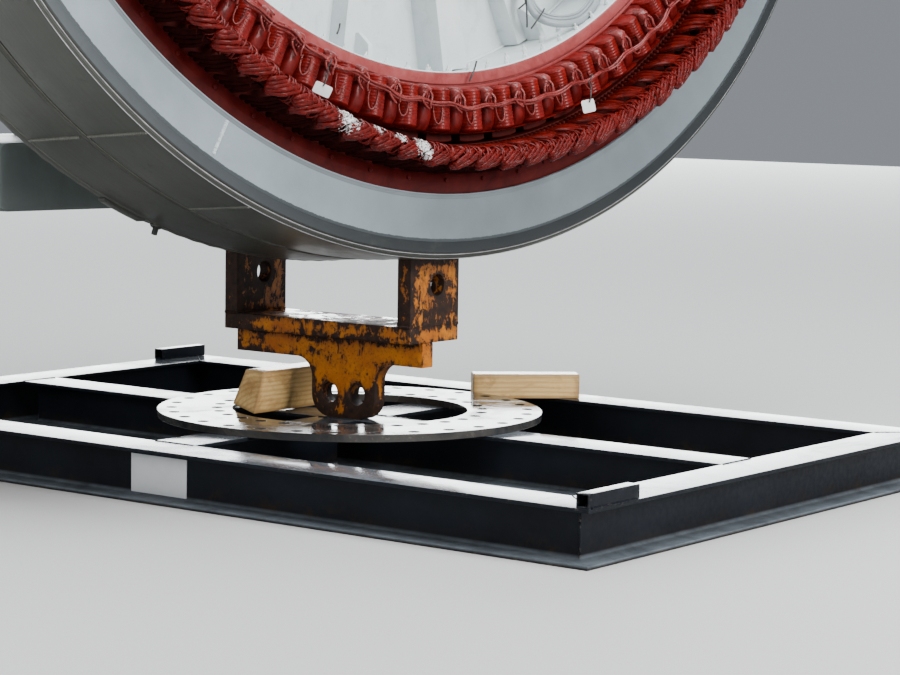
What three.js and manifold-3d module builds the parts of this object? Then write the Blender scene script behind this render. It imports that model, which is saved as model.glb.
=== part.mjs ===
import * as THREE from 'three';
import { mergeVertices } from 'three/addons/utils/BufferGeometryUtils.js';
import Module from 'manifold-3d';

const wasm = await Module();
wasm.setup();

// Driving sizes in mm. X runs along the frame, Y across it, Z up, floor at Z 0.
const GAP = 0.3;
const FRAME_L = 4800;
const FRAME_W = 3000;
const BEAM = 240;
const FLANGE_T = 17;
const WEB_T = 10;
const DISC_X = -27;
const DISC_Y = 12;
const DISC_R = 932;
const DISC_BORE_R = 570;
const DISC_T = 35;
const DISC_HOLE_R = 27;
const DISC_OUTER_BC = 863;
const DISC_INNER_BC = 644;
const DISC_CAD_HOLES = 6;
const DISC_PHASE = 29;
const STOP = 60;
const STOP_WALL = 6;
const STOP_L = 360;

// Pinned yoke under the ring
const YOKE_X = -90;
const YOKE_LEN = 1160;
const YOKE_W = 370;
const YOKE_T = 78;
const PLATE_Z = 636;
const LUG_TOP = 1400;
const LUG_PIN_Y = 20;
const LUG_PIN_Z = 908;
const PIN_R = 52;
const STEM_X = 10;
const STEM_Y = -50;
const STEM_T = 80;
const STEM_HALF = 195;
const WING_Z = 520;
const FILLET = 95;
const STEM_HOLE_Z = 358;
const STEM_HOLE_DX = 85;

// Generator ring: its axis is turned 8.5 degrees and tilted 4 degrees up
const AXIS_YAW = -8.5;
const AXIS_TILT = 4;
const RING_Z = 3960;
const RING_X = 50;
const SEG = 96;
const DRUM_R = 2950;
const RIM_R = 2922;
const BAND_R = 2876;
const COVER_R = 2650;
const CORE_R = 2700;
const BORE_R = 2422;
const HALF_L = 460;
const CORE_HALF = 300;
const CORE_FRONT = 440;

// Rotor
const POLES = 70;
const POLE_PHASE = 3.107;
const POLE_R = 2412;
const POLE_ROOT_R = 2270;
const POLE_IN_R = 2176;
const COIL_R = 2370;
const COIL_BACK = -365;
const COIL_FRONT = 515;
const RIM_IN_R = 2092;
const FLANGE_IN_R = 2084;
const RIM_FRONT = 415;
const ARMS = 22;
const ARM_PHASE = -98.6;
const ARM_HEIGHTS = [130, 190];
const HUB_R = 620;
const HUB_BORE = 300.8;
const PIN_SHAFT_R = 300;

// Rear support
const STAR_ARMS = 8;
const STAR_R = 2760;
const STAR_X0 = -930;
const STAR_HUB_R = 700;
const BASE_Z = 1230;
const BASE_H = 320;

const rad = (d) => d * Math.PI / 180;
const group = new THREE.Group();
group.name = 'nacelle_generator';

const looks = {
  black: { color: 0x17191b, roughness: 0.35, metalness: 0.3 },
  orange: { color: 0xc4660c, roughness: 0.6, metalness: 0.2 },
  timber: { color: 0xc9a269, roughness: 0.8, metalness: 0 },
  drum: { color: 0x5c6462, roughness: 0.45, metalness: 0.5 },
  cover: { color: 0xbcc8cf, roughness: 0.5, metalness: 0.1 },
  red: { color: 0x5e0f0c, roughness: 0.35, metalness: 0.1 },
  rimred: { color: 0x8c2420, roughness: 0.45, metalness: 0.1 },
  white: { color: 0xc3ccc8, roughness: 0.5, metalness: 0.1 },
  carrier: { color: 0x2f3c39, roughness: 0.55, metalness: 0.2 },
  steel: { color: 0x777b7d, roughness: 0.35, metalness: 0.9 },
  plate: { color: 0xe8e8e4, roughness: 0.5, metalness: 0 },
};

function part(parent, name, geometry, look) {
  const mesh = new THREE.Mesh(geometry, new THREE.MeshStandardMaterial(looks[look]));
  mesh.name = name;
  parent.add(mesh);
  return mesh;
}

// Plain geometry to and from the boolean solids
function solid(geometry) {
  let g = geometry.clone();
  g.deleteAttribute('normal');
  g.deleteAttribute('uv');
  g = mergeVertices(g, 1e-3);
  return new wasm.Manifold(new wasm.Mesh({
    numProp: 3,
    vertProperties: new Float32Array(g.attributes.position.array),
    triVerts: new Uint32Array(g.index.array),
  }));
}

function mesh(manifold) {
  const m = manifold.getMesh();
  const g = new THREE.BufferGeometry();
  g.setAttribute('position', new THREE.BufferAttribute(new Float32Array(m.vertProperties), 3));
  g.setIndex(new THREE.BufferAttribute(new Uint32Array(m.triVerts), 1));
  g.computeVertexNormals();
  return g;
}

function cut(base, tools) {
  let result = solid(base);
  for (const tool of tools) {
    result = result.subtract(solid(tool));
  }
  return mesh(result);
}

function join(pieces) {
  let result = solid(pieces[0]);
  for (const piece of pieces.slice(1)) {
    result = result.add(solid(piece));
  }
  return mesh(result);
}

function box(x0, x1, y0, y1, z0, z1) {
  const g = new THREE.BoxGeometry(x1 - x0, y1 - y0, z1 - z0);
  g.translate((x0 + x1) / 2, (y0 + y1) / 2, (z0 + z1) / 2);
  return g;
}

// Prism of a polygon in two axes, run along the third from a to b
function prism(points, a, b, plane) {
  const apart = (p, q) => Math.hypot(p[0] - q[0], p[1] - q[1]) > 0.01;
  const clean = points.filter((p, i) => apart(p, points[(i + 1) % points.length]));
  const shape = new THREE.Shape(clean.map((p) => new THREE.Vector2(p[0], p[1])));
  const g = new THREE.ExtrudeGeometry(shape, { depth: b - a, bevelEnabled: false });
  g.translate(0, 0, a);
  const m = new THREE.Matrix4();
  if (plane === 'xz') {
    m.makeBasis(new THREE.Vector3(1, 0, 0), new THREE.Vector3(0, 0, 1), new THREE.Vector3(0, -1, 0));
  }
  if (plane === 'yz') {
    m.makeBasis(new THREE.Vector3(0, 1, 0), new THREE.Vector3(0, 0, 1), new THREE.Vector3(1, 0, 0));
  }
  g.applyMatrix4(m);
  return g;
}

// Solid of revolution about the X axis from a closed profile of [x, radius]
function turned(profile, count = SEG) {
  let area = 0;
  profile.forEach((p, i) => {
    const q = profile[(i + 1) % profile.length];
    area += p[0] * q[1] - q[0] * p[1];
  });
  const pts = area > 0 ? profile : profile.slice().reverse();
  const n = pts.length;
  const position = [];
  for (let i = 0; i < count; i += 1) {
    const a = (i + 0.5) * 2 * Math.PI / count;
    for (const [x, r] of pts) {
      position.push(x, r * Math.cos(a), r * Math.sin(a));
    }
  }
  const index = [];
  for (let i = 0; i < count; i += 1) {
    const k = (i + 1) % count;
    for (let j = 0; j < n; j += 1) {
      const l = (j + 1) % n;
      const onAxis = pts[j][1] === 0;
      const nextOnAxis = pts[l][1] === 0;
      if (!nextOnAxis) {
        index.push(i * n + j, i * n + l, k * n + l);
      }
      if (!onAxis) {
        index.push(i * n + j, k * n + l, k * n + j);
      }
    }
  }
  const g = new THREE.BufferGeometry();
  g.setAttribute('position', new THREE.Float32BufferAttribute(position, 3));
  g.setAttribute('normal', new THREE.Float32BufferAttribute(new Array(position.length).fill(0), 3));
  g.setAttribute('uv', new THREE.Float32BufferAttribute(new Array(position.length / 3 * 2).fill(0), 2));
  g.setIndex(index);
  g.computeVertexNormals();
  return g;
}

function ring(x0, x1, r0, r1) {
  return turned([[x0, r0], [x1, r0], [x1, r1], [x0, r1]]);
}

function rod(r, length, count = 32) {
  return new THREE.CylinderGeometry(r, r, length, count);
}

// Transport frame of wide-flange beams, mitred at the four corners
function beamSection() {
  const h = BEAM / 2;
  const w = WEB_T / 2;
  const f = h - FLANGE_T;
  return [
    [-h, -h], [h, -h], [h, -f], [w, -f], [w, f], [h, f],
    [h, h], [-h, h], [-h, f], [-w, f], [-w, -f], [-h, -f],
  ];
}

function beam(name, outward, centre, half, mitre) {
  const shape = new THREE.Shape(beamSection().map((p) => new THREE.Vector2(p[0], p[1])));
  const g = new THREE.ExtrudeGeometry(shape, { depth: 1, bevelEnabled: false });
  const pos = g.attributes.position;
  for (let i = 0; i < pos.count; i += 1) {
    const side = pos.getZ(i) > 0.5 ? 1 : -1;
    pos.setZ(i, side * (half + mitre * pos.getX(i)));
  }
  const u = new THREE.Vector3(...outward);
  const w = new THREE.Vector3(0, 0, 1);
  const s = new THREE.Vector3().crossVectors(u, w);
  g.applyMatrix4(new THREE.Matrix4().makeBasis(u, w, s).setPosition(...centre));
  g.computeVertexNormals();
  part(group, name, g, 'black');
}

const cx = FRAME_L / 2 - BEAM / 2;
const cy = FRAME_W / 2 - BEAM / 2;
beam('front_beam', [0, -1, 0], [0, -cy, BEAM / 2], cx - 0.2, 1);
beam('back_beam', [0, 1, 0], [0, cy, BEAM / 2], cx - 0.2, 1);
beam('right_end_beam', [1, 0, 0], [cx, 0, BEAM / 2], cy - 0.2, 1);
beam('left_end_beam', [-1, 0, 0], [-cx, 0, BEAM / 2], cy - 0.2, 1);
beam('middle_beam', [0, -1, 0], [0, 0, BEAM / 2], cx - BEAM / 2 - GAP, 0);
const bay = (cy - BEAM) / 2;
beam('front_cross_beam', [1, 0, 0], [0, -cy / 2, BEAM / 2], bay - GAP, 0);
beam('back_cross_beam', [1, 0, 0], [0, cy / 2, BEAM / 2], bay - GAP, 0);

// Drilled disc on the beams, with every like hole after the first few left to the look
const discZ = BEAM + GAP;
const holes = [];
for (const r of [DISC_OUTER_BC, DISC_INNER_BC]) {
  for (let i = 0; i < DISC_CAD_HOLES; i += 1) {
    const a = rad(DISC_PHASE + i * 360 / DISC_CAD_HOLES);
    const h = rod(DISC_HOLE_R, DISC_T * 3, 20);
    h.rotateX(Math.PI / 2);
    h.translate(DISC_X + r * Math.cos(a), DISC_Y + r * Math.sin(a), discZ + DISC_T / 2);
    holes.push(h);
  }
}
const discBlank = turned([[0, DISC_BORE_R], [DISC_T, DISC_BORE_R], [DISC_T, DISC_R], [0, DISC_R]]);
discBlank.rotateY(-Math.PI / 2);
discBlank.translate(DISC_X, DISC_Y, discZ);
part(group, 'pivot_disc', cut(discBlank, holes), 'black');

// Square tube stops at two opposite corners
function cornerStop(name, x0, y0) {
  const outer = box(x0, x0 + STOP, y0, y0 + STOP_L, BEAM + GAP, BEAM + GAP + STOP);
  const z0 = BEAM + GAP + STOP_WALL;
  const z1 = BEAM + GAP + STOP - STOP_WALL;
  const inner = box(x0 + STOP_WALL, x0 + STOP - STOP_WALL, y0 - 10, y0 + STOP_L + 10, z0, z1);
  part(group, name, cut(outer, [inner]), 'black');
}
cornerStop('near_corner_stop', FRAME_L / 2 - STOP, -FRAME_W / 2);
cornerStop('far_corner_stop', -FRAME_L / 2, FRAME_W / 2 - STOP_L);

// Bare notice plate on the outer web of the front beam
const webFace = -cy - WEB_T / 2 - GAP;
part(group, 'notice_plate', box(-140, 195, webFace - 4, webFace, 24, 196), 'plate');

// Local frame of the tilted generator
const axis = new THREE.Group();
axis.name = 'generator_axis';
axis.position.set(RING_X, 0, RING_Z);
axis.rotation.set(0, -rad(AXIS_TILT), rad(AXIS_YAW), 'ZYX');
group.add(axis);
axis.updateMatrixWorld(true);

// Yoke: plate, two pinned lugs cut to the drum, and the stem plate below
const yokeX0 = YOKE_X - YOKE_LEN / 2;
const yokeX1 = YOKE_X + YOKE_LEN / 2;
const plateTop = PLATE_Z + YOKE_T;
part(group, 'yoke_top_plate', box(yokeX0, yokeX1, -YOKE_W / 2, YOKE_W / 2, PLATE_Z, plateTop), 'orange');

function pinHole(x, y, z, r, along) {
  const h = rod(r, 400, 36);
  if (along === 'x') {
    h.rotateZ(Math.PI / 2);
  }
  h.translate(x, y, z);
  return h;
}

function lugShape() {
  const w = YOKE_W / 2;
  const r = 26;
  const s = new THREE.Shape();
  s.moveTo(-w, plateTop + GAP);
  s.lineTo(w, plateTop + GAP);
  s.lineTo(w, LUG_TOP - r);
  s.lineTo(w - r, LUG_TOP);
  s.lineTo(-w + r, LUG_TOP);
  s.lineTo(-w, LUG_TOP - r);
  return s.getPoints();
}

function lug(name, x0, cutters) {
  const blank = prism(lugShape().map((p) => [p.x, p.y]), x0, x0 + YOKE_T, 'yz');
  const hole = pinHole(x0 + YOKE_T / 2, LUG_PIN_Y, LUG_PIN_Z, PIN_R, 'x');
  part(group, name, cut(blank, [hole, ...cutters]), 'orange');
}

function placed(geometry) {
  const g = geometry.clone();
  g.applyMatrix4(axis.matrixWorld);
  return g;
}
const drumCutter = placed(turned([[-2000, 0], [2000, 0], [2000, DRUM_R + GAP], [-2000, DRUM_R + GAP]]));
const starCutter = placed(box(-2000, -HALF_L, -600, 600, -STAR_R - GAP, 0));
lug('front_yoke_lug', yokeX1 - YOKE_T, [drumCutter]);
lug('rear_yoke_lug', yokeX0, [starCutter]);

// Stem plate: wings under the top plate, curving into a rounded stem
const stem = new THREE.Shape();
const wingTop = PLATE_Z - GAP;
const stemBottom = BEAM + GAP;
const sl = STEM_X - STEM_HALF;
const sr = STEM_X + STEM_HALF;
stem.moveTo(yokeX0, wingTop);
stem.lineTo(yokeX0, WING_Z);
stem.lineTo(sl - FILLET, WING_Z);
stem.absarc(sl - FILLET, WING_Z - FILLET, FILLET, Math.PI / 2, 0, true);
stem.lineTo(sl, stemBottom + 110);
stem.absarc(sl + 110, stemBottom + 110, 110, Math.PI, Math.PI * 1.5, false);
stem.lineTo(sr - 110, stemBottom);
stem.absarc(sr - 110, stemBottom + 110, 110, -Math.PI / 2, 0, false);
stem.lineTo(sr, WING_Z - FILLET);
stem.absarc(sr + FILLET, WING_Z - FILLET, FILLET, Math.PI, Math.PI / 2, true);
stem.lineTo(yokeX1, WING_Z);
stem.lineTo(yokeX1, wingTop);
const stemPoints = stem.getPoints(10).map((p) => [p.x, p.y]);
const stemHoles = [-1, 1].map((s) => pinHole(STEM_X + s * STEM_HOLE_DX, 0, STEM_HOLE_Z, PIN_R - 2, 'y'));
const stemBlank = prism(stemPoints, -STEM_Y - STEM_T / 2, -STEM_Y + STEM_T / 2, 'xz');
part(group, 'yoke_stem_plate', cut(stemBlank, stemHoles), 'orange');

// Timber blocks: a tapered one leaning on the disc's inner edge, one lying behind
const blockY0 = -280;
const blockY1 = 246;
const blockFoot = [-389, BEAM + 0.5];
const lipX = DISC_X - Math.sqrt(DISC_BORE_R ** 2 - (DISC_Y - blockY0) ** 2);
const lean = (discZ + DISC_T + GAP - blockFoot[1]) / (blockFoot[0] - lipX);
const blockSection = [
  blockFoot, [-329, 452], [-446, 456], [-530, blockFoot[1] + lean * (blockFoot[0] + 530)],
];
part(group, 'front_timber_block', prism(blockSection, -blockY1, -blockY0, 'xz'), 'timber');
const back = new THREE.BoxGeometry(550, 130, 125);
back.rotateZ(rad(43));
back.translate(170, 1195, BEAM + GAP + 62.5);
part(group, 'back_timber_block', back, 'timber');

// Generator drum: two housing rings, a rear flange and the front cover
part(axis, 'drum_front_ring', turned([
  [GAP / 2, CORE_R + GAP], [HALF_L - 20, CORE_R + GAP], [HALF_L - 20, BAND_R + GAP],
  [HALF_L, BAND_R + GAP], [HALF_L, RIM_R], [HALF_L - 22, DRUM_R], [6, DRUM_R], [GAP / 2, DRUM_R - 6],
]), 'drum');
part(axis, 'drum_rear_ring', turned([
  [-HALF_L + 60, CORE_R + GAP], [-GAP / 2, CORE_R + GAP], [-GAP / 2, DRUM_R - 6], [-6, DRUM_R],
  [-HALF_L + 66, DRUM_R], [-HALF_L + 60, DRUM_R - 6],
]), 'drum');
part(axis, 'drum_rear_flange', turned([
  [-HALF_L, CORE_R + GAP], [-HALF_L + 60 - GAP, CORE_R + GAP], [-HALF_L + 60 - GAP, DRUM_R - 2],
  [-HALF_L + 10, DRUM_R - 2], [-HALF_L, DRUM_R - 12],
]), 'drum');
part(axis, 'front_cover_ring', ring(HALF_L - 20 + GAP, HALF_L + 3, COVER_R, BAND_R), 'cover');
part(axis, 'stator_core', ring(-CORE_HALF, CORE_FRONT, BORE_R, CORE_R), 'red');
part(axis, 'front_clamp_ring', ring(CORE_FRONT + GAP, CORE_FRONT + 12, 2556, COVER_R - GAP), 'red');

// Windings where they turn round the ends of the core
function windings(name, x0, x1) {
  const r0 = 2432;
  const r1 = 2552;
  const d = Math.sign(x1 - x0);
  part(axis, name, turned([
    [x0, r0], [x1 - d * 40, r0], [x1 - d * 12, r0 + 16], [x1, r0 + 45],
    [x1, r1 - 45], [x1 - d * 12, r1 - 16], [x1 - d * 40, r1], [x0, r1],
  ]), 'red');
}
windings('front_windings', CORE_FRONT + GAP, 700);
windings('rear_windings', -CORE_HALF - GAP, -440);

// Rear star that holds the drum, the fixed axle pin and the machine carrier
const starX1 = -HALF_L - GAP;
for (let i = 0; i < STAR_ARMS; i += 1) {
  const blank = box(STAR_X0, starX1, STAR_HUB_R - 60, STAR_R, -190, 190);
  const arm = cut(blank, [ring(STAR_X0 - 50, starX1 + 50, 100, STAR_HUB_R + GAP)]);
  arm.rotateX(rad(i * 360 / STAR_ARMS));
  part(axis, `star_arm_${i + 1}`, arm, 'carrier');
}
part(axis, 'star_hub', ring(STAR_X0, -HALF_L - 20, PIN_SHAFT_R + GAP, STAR_HUB_R), 'carrier');
part(axis, 'axle_pin', turned([
  [STAR_X0, 0], [420, 0], [420, PIN_SHAFT_R - 20], [400, PIN_SHAFT_R], [STAR_X0, PIN_SHAFT_R],
], 48), 'steel');

// Carrier below and behind, level while the generator is tilted
const level = new THREE.Group();
level.name = 'carrier_level';
level.position.set(RING_X, 0, RING_Z);
level.rotation.set(0, 0, rad(AXIS_YAW));
group.add(level);

function tilted(x, z) {
  const c = Math.cos(rad(AXIS_TILT));
  const s = Math.sin(rad(AXIS_TILT));
  return [x * c - z * s, x * s + z * c];
}
const carrierFace = STAR_X0 - GAP;
const baseTop = BASE_Z + BASE_H - RING_Z + GAP;
part(level, 'machine_carrier', prism([
  tilted(carrierFace, 700), tilted(carrierFace, -700), [-880, -1100], [-900, -1900], [-860, baseTop],
  [-2050, baseTop], [-2000, -1900], [-1880, -500], [-1780, 100], [-1500, 560],
], -600, 600, 'xz'), 'carrier');

const baseShape = new THREE.Shape();
const bw = 1500;
const b0 = BASE_Z - RING_Z;
const b1 = b0 + BASE_H;
const br = 45;
baseShape.moveTo(-bw + br, b0);
baseShape.lineTo(bw - br, b0);
baseShape.absarc(bw - br, b0 + br, br, -Math.PI / 2, 0, false);
baseShape.absarc(bw - br, b1 - br, br, 0, Math.PI / 2, false);
baseShape.absarc(-bw + br, b1 - br, br, Math.PI / 2, Math.PI, false);
baseShape.absarc(-bw + br, b0 + br, br, Math.PI, Math.PI * 1.5, false);
const basePoints = baseShape.getPoints(5).map((p) => [p.x, p.y]);
part(level, 'carrier_base', prism(basePoints, -2150, -850, 'yz'), 'carrier');

// Rotor: hub, ribbed disc, red rim and the ring of poles
part(axis, 'rotor_hub', turned([
  [-330, HUB_BORE], [330, HUB_BORE], [330, 880], [270, 880], [270, HUB_R], [-330, HUB_R],
]), 'white');

function wedge(x0, x1, r0, r1, w0, w1, degrees) {
  const g = prism([[r0, -w0 / 2], [r1, -w1 / 2], [r1, w1 / 2], [r0, w0 / 2]], x0, x1, '');
  const m = new THREE.Matrix4();
  m.makeBasis(new THREE.Vector3(0, 1, 0), new THREE.Vector3(0, 0, 1), new THREE.Vector3(1, 0, 0));
  g.applyMatrix4(m);
  g.rotateX(rad(degrees));
  return g;
}
const spider = [ring(-20, 20, HUB_R + GAP, FLANGE_IN_R - GAP)];
for (let i = 0; i < ARMS; i += 1) {
  const top = ARM_HEIGHTS[i % 2];
  spider.push(wedge(10, top, HUB_R + 60, FLANGE_IN_R - 8, 70, 165, ARM_PHASE + i * 360 / ARMS));
}
part(axis, 'rotor_spider', join(spider), 'white');
part(axis, 'rotor_flange', ring(-150, RIM_FRONT - 5, FLANGE_IN_R, RIM_IN_R - GAP), 'white');
part(axis, 'rotor_rim', ring(-340, RIM_FRONT, RIM_IN_R, POLE_IN_R - GAP), 'rimred');

// Poles and their coils stand on one rim and are drawn as one toothed ring
const teeth = [];
const pitch = 2 * Math.PI / POLES;
for (let i = 0; i < POLES; i += 1) {
  const a = (i + 0.5) * pitch + rad(POLE_PHASE);
  for (const [r, k] of [[POLE_ROOT_R, -0.37], [POLE_R, -0.37], [POLE_R, 0.37], [POLE_ROOT_R, 0.37]]) {
    teeth.push([r * Math.cos(a + k * pitch), r * Math.sin(a + k * pitch)]);
  }
}
const toothShape = new THREE.Shape(teeth.map((p) => new THREE.Vector2(p[0], p[1])));
const bore = [];
for (let i = 0; i < SEG; i += 1) {
  const a = (i + 0.5) * 2 * Math.PI / SEG;
  bore.push(new THREE.Vector2(POLE_IN_R * Math.cos(a), POLE_IN_R * Math.sin(a)));
}
toothShape.holes.push(new THREE.Path(bore));
const poleGeometry = new THREE.ExtrudeGeometry(toothShape, { depth: CORE_HALF + CORE_FRONT, bevelEnabled: false });
poleGeometry.translate(0, 0, -CORE_HALF);
const toX = new THREE.Matrix4();
toX.makeBasis(new THREE.Vector3(0, 1, 0), new THREE.Vector3(0, 0, 1), new THREE.Vector3(1, 0, 0));
poleGeometry.applyMatrix4(toX);
const coils = [];
const coilHalf = 0.45 * pitch * COIL_R;
for (let i = 0; i < POLES; i += 1) {
  const coil = box(COIL_BACK, COIL_FRONT, POLE_IN_R + 14, COIL_R, -coilHalf, coilHalf);
  coil.rotateX((i + 0.5) * pitch + rad(POLE_PHASE));
  coils.push(coil);
}
part(axis, 'pole_ring', join([poleGeometry, ...coils]), 'red');

// Loop of cable conduit that hangs in front of the rotor ribs, as points of [x, y, z]
const loopPoints = [
  [214, 690, -1090], [214, 705, -1280], [214, 728, -1500], [225, 746, -1662], [250, 732, -1745],
  [290, 746, -1806], [328, 790, -1835], [352, 868, -1842], [358, 962, -1826], [352, 1050, -1778],
  [325, 1132, -1717], [275, 1208, -1640], [214, 1258, -1530], [205.7, 1272, -1460], [205.7, 1278, -1400],
  [205.7, 1284, -1300], [208, 1290, -1090],
].map((p) => new THREE.Vector3(...p));
const pipe = new THREE.Shape();
pipe.absarc(0, 0, 15, 0, Math.PI * 2, false);
const route = new THREE.CatmullRomCurve3(loopPoints);
const loop = new THREE.ExtrudeGeometry(pipe, { steps: 48, curveSegments: 6, extrudePath: route });
part(axis, 'conduit_loop', loop, 'steel');

// Drain nipple under the rear of the drum
const nipple = rod(14, 45, 20);
nipple.translate(0, DRUM_R - 2.6 + GAP + 22.5, 0);
nipple.rotateX(rad(-111.2));
nipple.translate(-430, 0, 0);
part(axis, 'drain_nipple', nipple, 'steel');

export default group;
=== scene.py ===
"""Ring generator of a wind turbine nacelle on its transport frame.

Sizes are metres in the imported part's frame: X along the transport frame, Y across it, Z up from the floor.
Things that turn about the generator's axis are worked out in ring places (x, r, a): x along the axis from the
drum's middle, r the distance from the axis, and a the angle seen from the front, 0 at the right and -90
degrees at the bottom.
"""
import math

import bmesh
import bpy
import numpy as np
from mathutils import Matrix


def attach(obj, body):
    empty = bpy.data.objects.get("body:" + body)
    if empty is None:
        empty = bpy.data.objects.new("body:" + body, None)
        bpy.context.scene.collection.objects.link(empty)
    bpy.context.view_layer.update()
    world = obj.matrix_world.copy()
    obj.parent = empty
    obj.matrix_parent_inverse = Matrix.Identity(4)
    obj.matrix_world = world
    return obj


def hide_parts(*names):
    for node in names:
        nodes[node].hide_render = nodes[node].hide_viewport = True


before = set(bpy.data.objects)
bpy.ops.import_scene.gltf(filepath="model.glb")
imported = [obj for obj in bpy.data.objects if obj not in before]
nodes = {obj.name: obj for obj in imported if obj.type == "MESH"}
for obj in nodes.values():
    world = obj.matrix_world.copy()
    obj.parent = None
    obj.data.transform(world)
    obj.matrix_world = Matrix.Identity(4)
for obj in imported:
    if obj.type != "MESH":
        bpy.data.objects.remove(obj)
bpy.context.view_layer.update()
random = np.random.default_rng(7)
FIXED = "stand_and_stator"
ROTOR = "rotor"

# Places on the tilted generator
RING_CENTRE = np.array([0.05, 0.0, 3.96])
YAW, TILT = math.radians(-8.5), math.radians(4.0)
FORWARD = np.array([math.cos(TILT) * math.cos(YAW), math.cos(TILT) * math.sin(YAW), math.sin(TILT)])
ACROSS = np.array([-math.sin(YAW), math.cos(YAW), 0.0])
RING_AXES = np.stack([FORWARD, ACROSS, np.cross(FORWARD, ACROSS)])
TURN = 2 * math.pi
POLES, POLE_PHASE = 70, math.radians(3.107)
PITCH = TURN / POLES
HANKS, HANK_PHASE = 98, math.radians(-125.2)


def ring_place(x, r, a):
    """Row place of ring places: centre + x forward + r cos a across + r sin a up, as whole arrays."""
    x, r, a = np.broadcast_arrays(np.asarray(x, float), r, a)
    return RING_CENTRE + np.stack([x, r * np.cos(a), r * np.sin(a)], -1) @ RING_AXES


def outward(a):
    """Unit vectors from the axis towards the angles a."""
    return ring_place(0.0, 1.0, a) - RING_CENTRE


def angles(count, shift=0.0):
    """Angles of count places spread evenly once round, from shift steps on."""
    return (np.arange(count) + shift) * TURN / count


# Meshes from whole arrays
def put(name, points, faces, look, body, stands_for=(), sharp=32, uv=None, marks=None):
    """Makes a piece from points (n, 3) and a list of face arrays, each of triangles or of quads.

    uv has one pair for each corner in order, marks are named values at the points."""
    points = np.asarray(points, np.float32).reshape(-1, 3)
    faces = [np.asarray(f, np.int32) for f in faces]
    corners = np.concatenate([f.ravel() for f in faces])
    sizes = np.concatenate([np.full(len(f), f.shape[1], np.int32) for f in faces])
    mesh = bpy.data.meshes.new(name)
    mesh.vertices.add(len(points))
    mesh.vertices.foreach_set("co", points.ravel())
    mesh.loops.add(len(corners))
    mesh.loops.foreach_set("vertex_index", corners)
    mesh.polygons.add(len(sizes))
    mesh.polygons.foreach_set("loop_start", (np.cumsum(sizes) - sizes).astype(np.int32))
    mesh.polygons.foreach_set("use_smooth", np.ones(len(sizes), bool))
    mesh.update(calc_edges=True)
    if uv is not None:
        layer = mesh.uv_layers.new(name="UV")
        layer.data.foreach_set("uv", np.asarray(uv, np.float32).ravel())
    if marks:
        mark_points(mesh, marks)
    mesh.set_sharp_from_angle(angle=math.radians(sharp))
    return shown(name, mesh, look, body, stands_for)


def mark_points(mesh, marks):
    """Stores named values at a mesh's points, for its finish."""
    for key, values in marks.items():
        mark = mesh.attributes.new(key, "FLOAT", "POINT")
        mark.data.foreach_set("value", np.asarray(values, np.float32).ravel())


def shown(name, mesh, look, body, stands_for=()):
    """Links a finished mesh, gives it its finish, and lets it ride on its body."""
    piece = bpy.data.objects.new(name, mesh)
    bpy.context.scene.collection.objects.link(piece)
    mesh.materials.clear()
    mesh.materials.append(look)
    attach(piece, body)
    if stands_for:
        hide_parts(*stands_for)
    return piece


def grid(n, m, closed_n=False, closed_m=False):
    """Quads between n rows of m points, closed round either way: (i, j) (i, j+1) (i+1, j+1) (i+1, j)."""
    rows = np.arange(n if closed_n else n - 1)
    columns = np.arange(m if closed_m else m - 1)
    i, j = np.meshgrid(rows, columns, indexing="ij")
    k, l = (i + 1) % n, (j + 1) % m
    return np.stack([i * m + j, i * m + l, k * m + l, k * m + j], -1).reshape(-1, 4)


def capped(n, m, flip=False):
    """Faces of a closed skin of n rows round m points: its wall, and flat caps on its first and last row."""
    wall, first = grid(n, m, False, True), np.arange(m)[None]
    last = (n - 1) * m + first
    if flip:
        return [wall[:, ::-1], first, last[:, ::-1]]
    return [wall, first[:, ::-1], last]


def end_fans(n, sides):
    """Triangles that close a tube of n rows on the two points that follow its skin."""
    j = np.arange(sides)
    l = (j + 1) % sides
    first = np.stack([np.full(sides, n * sides), l, j], -1)
    last = np.stack([np.full(sides, n * sides + 1), (n - 1) * sides + j, (n - 1) * sides + l], -1)
    return np.concatenate([first, last])


def copies(points, faces, count):
    """Repeats one small shape's faces for count sets of its points; points is (count, n, 3)."""
    n = points.shape[1]
    return points.reshape(-1, 3), [(f[None] + n * np.arange(count)[:, None, None]).reshape(-1, f.shape[1])
                                   for f in faces]


def rounded(profile, steps=3):
    """Closed profile of (x, r, fillet): a corner becomes a parabola between points a fillet away from it."""
    p = np.array([c[:2] for c in profile], float)
    out = []
    for k, (_, _, fillet) in enumerate(profile):
        before, here, after = p[k - 1], p[k], p[(k + 1) % len(p)]
        if fillet == 0:
            out.append(here)
            continue
        a = here + (before - here) / np.linalg.norm(before - here) * fillet
        b = here + (after - here) / np.linalg.norm(after - here) * fillet
        for t in np.linspace(0, 1, steps + 1):
            out.append((1 - t) ** 2 * a + 2 * t * (1 - t) * here + t * t * b)
    out = np.array(out)
    nxt = np.roll(out, -1, 0)
    area = np.sum(out[:, 0] * nxt[:, 1] - nxt[:, 0] * out[:, 1])
    return out if area > 0 else out[::-1]


def turned(name, profile, look, body, stands_for=(), count=384):
    """A closed profile carried once round the generator's axis."""
    p = rounded(profile)
    points = ring_place(p[None, :, 0], p[None, :, 1], angles(count)[:, None])
    return put(name, points, [grid(count, len(p), True, True)], look, body, stands_for)


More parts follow.
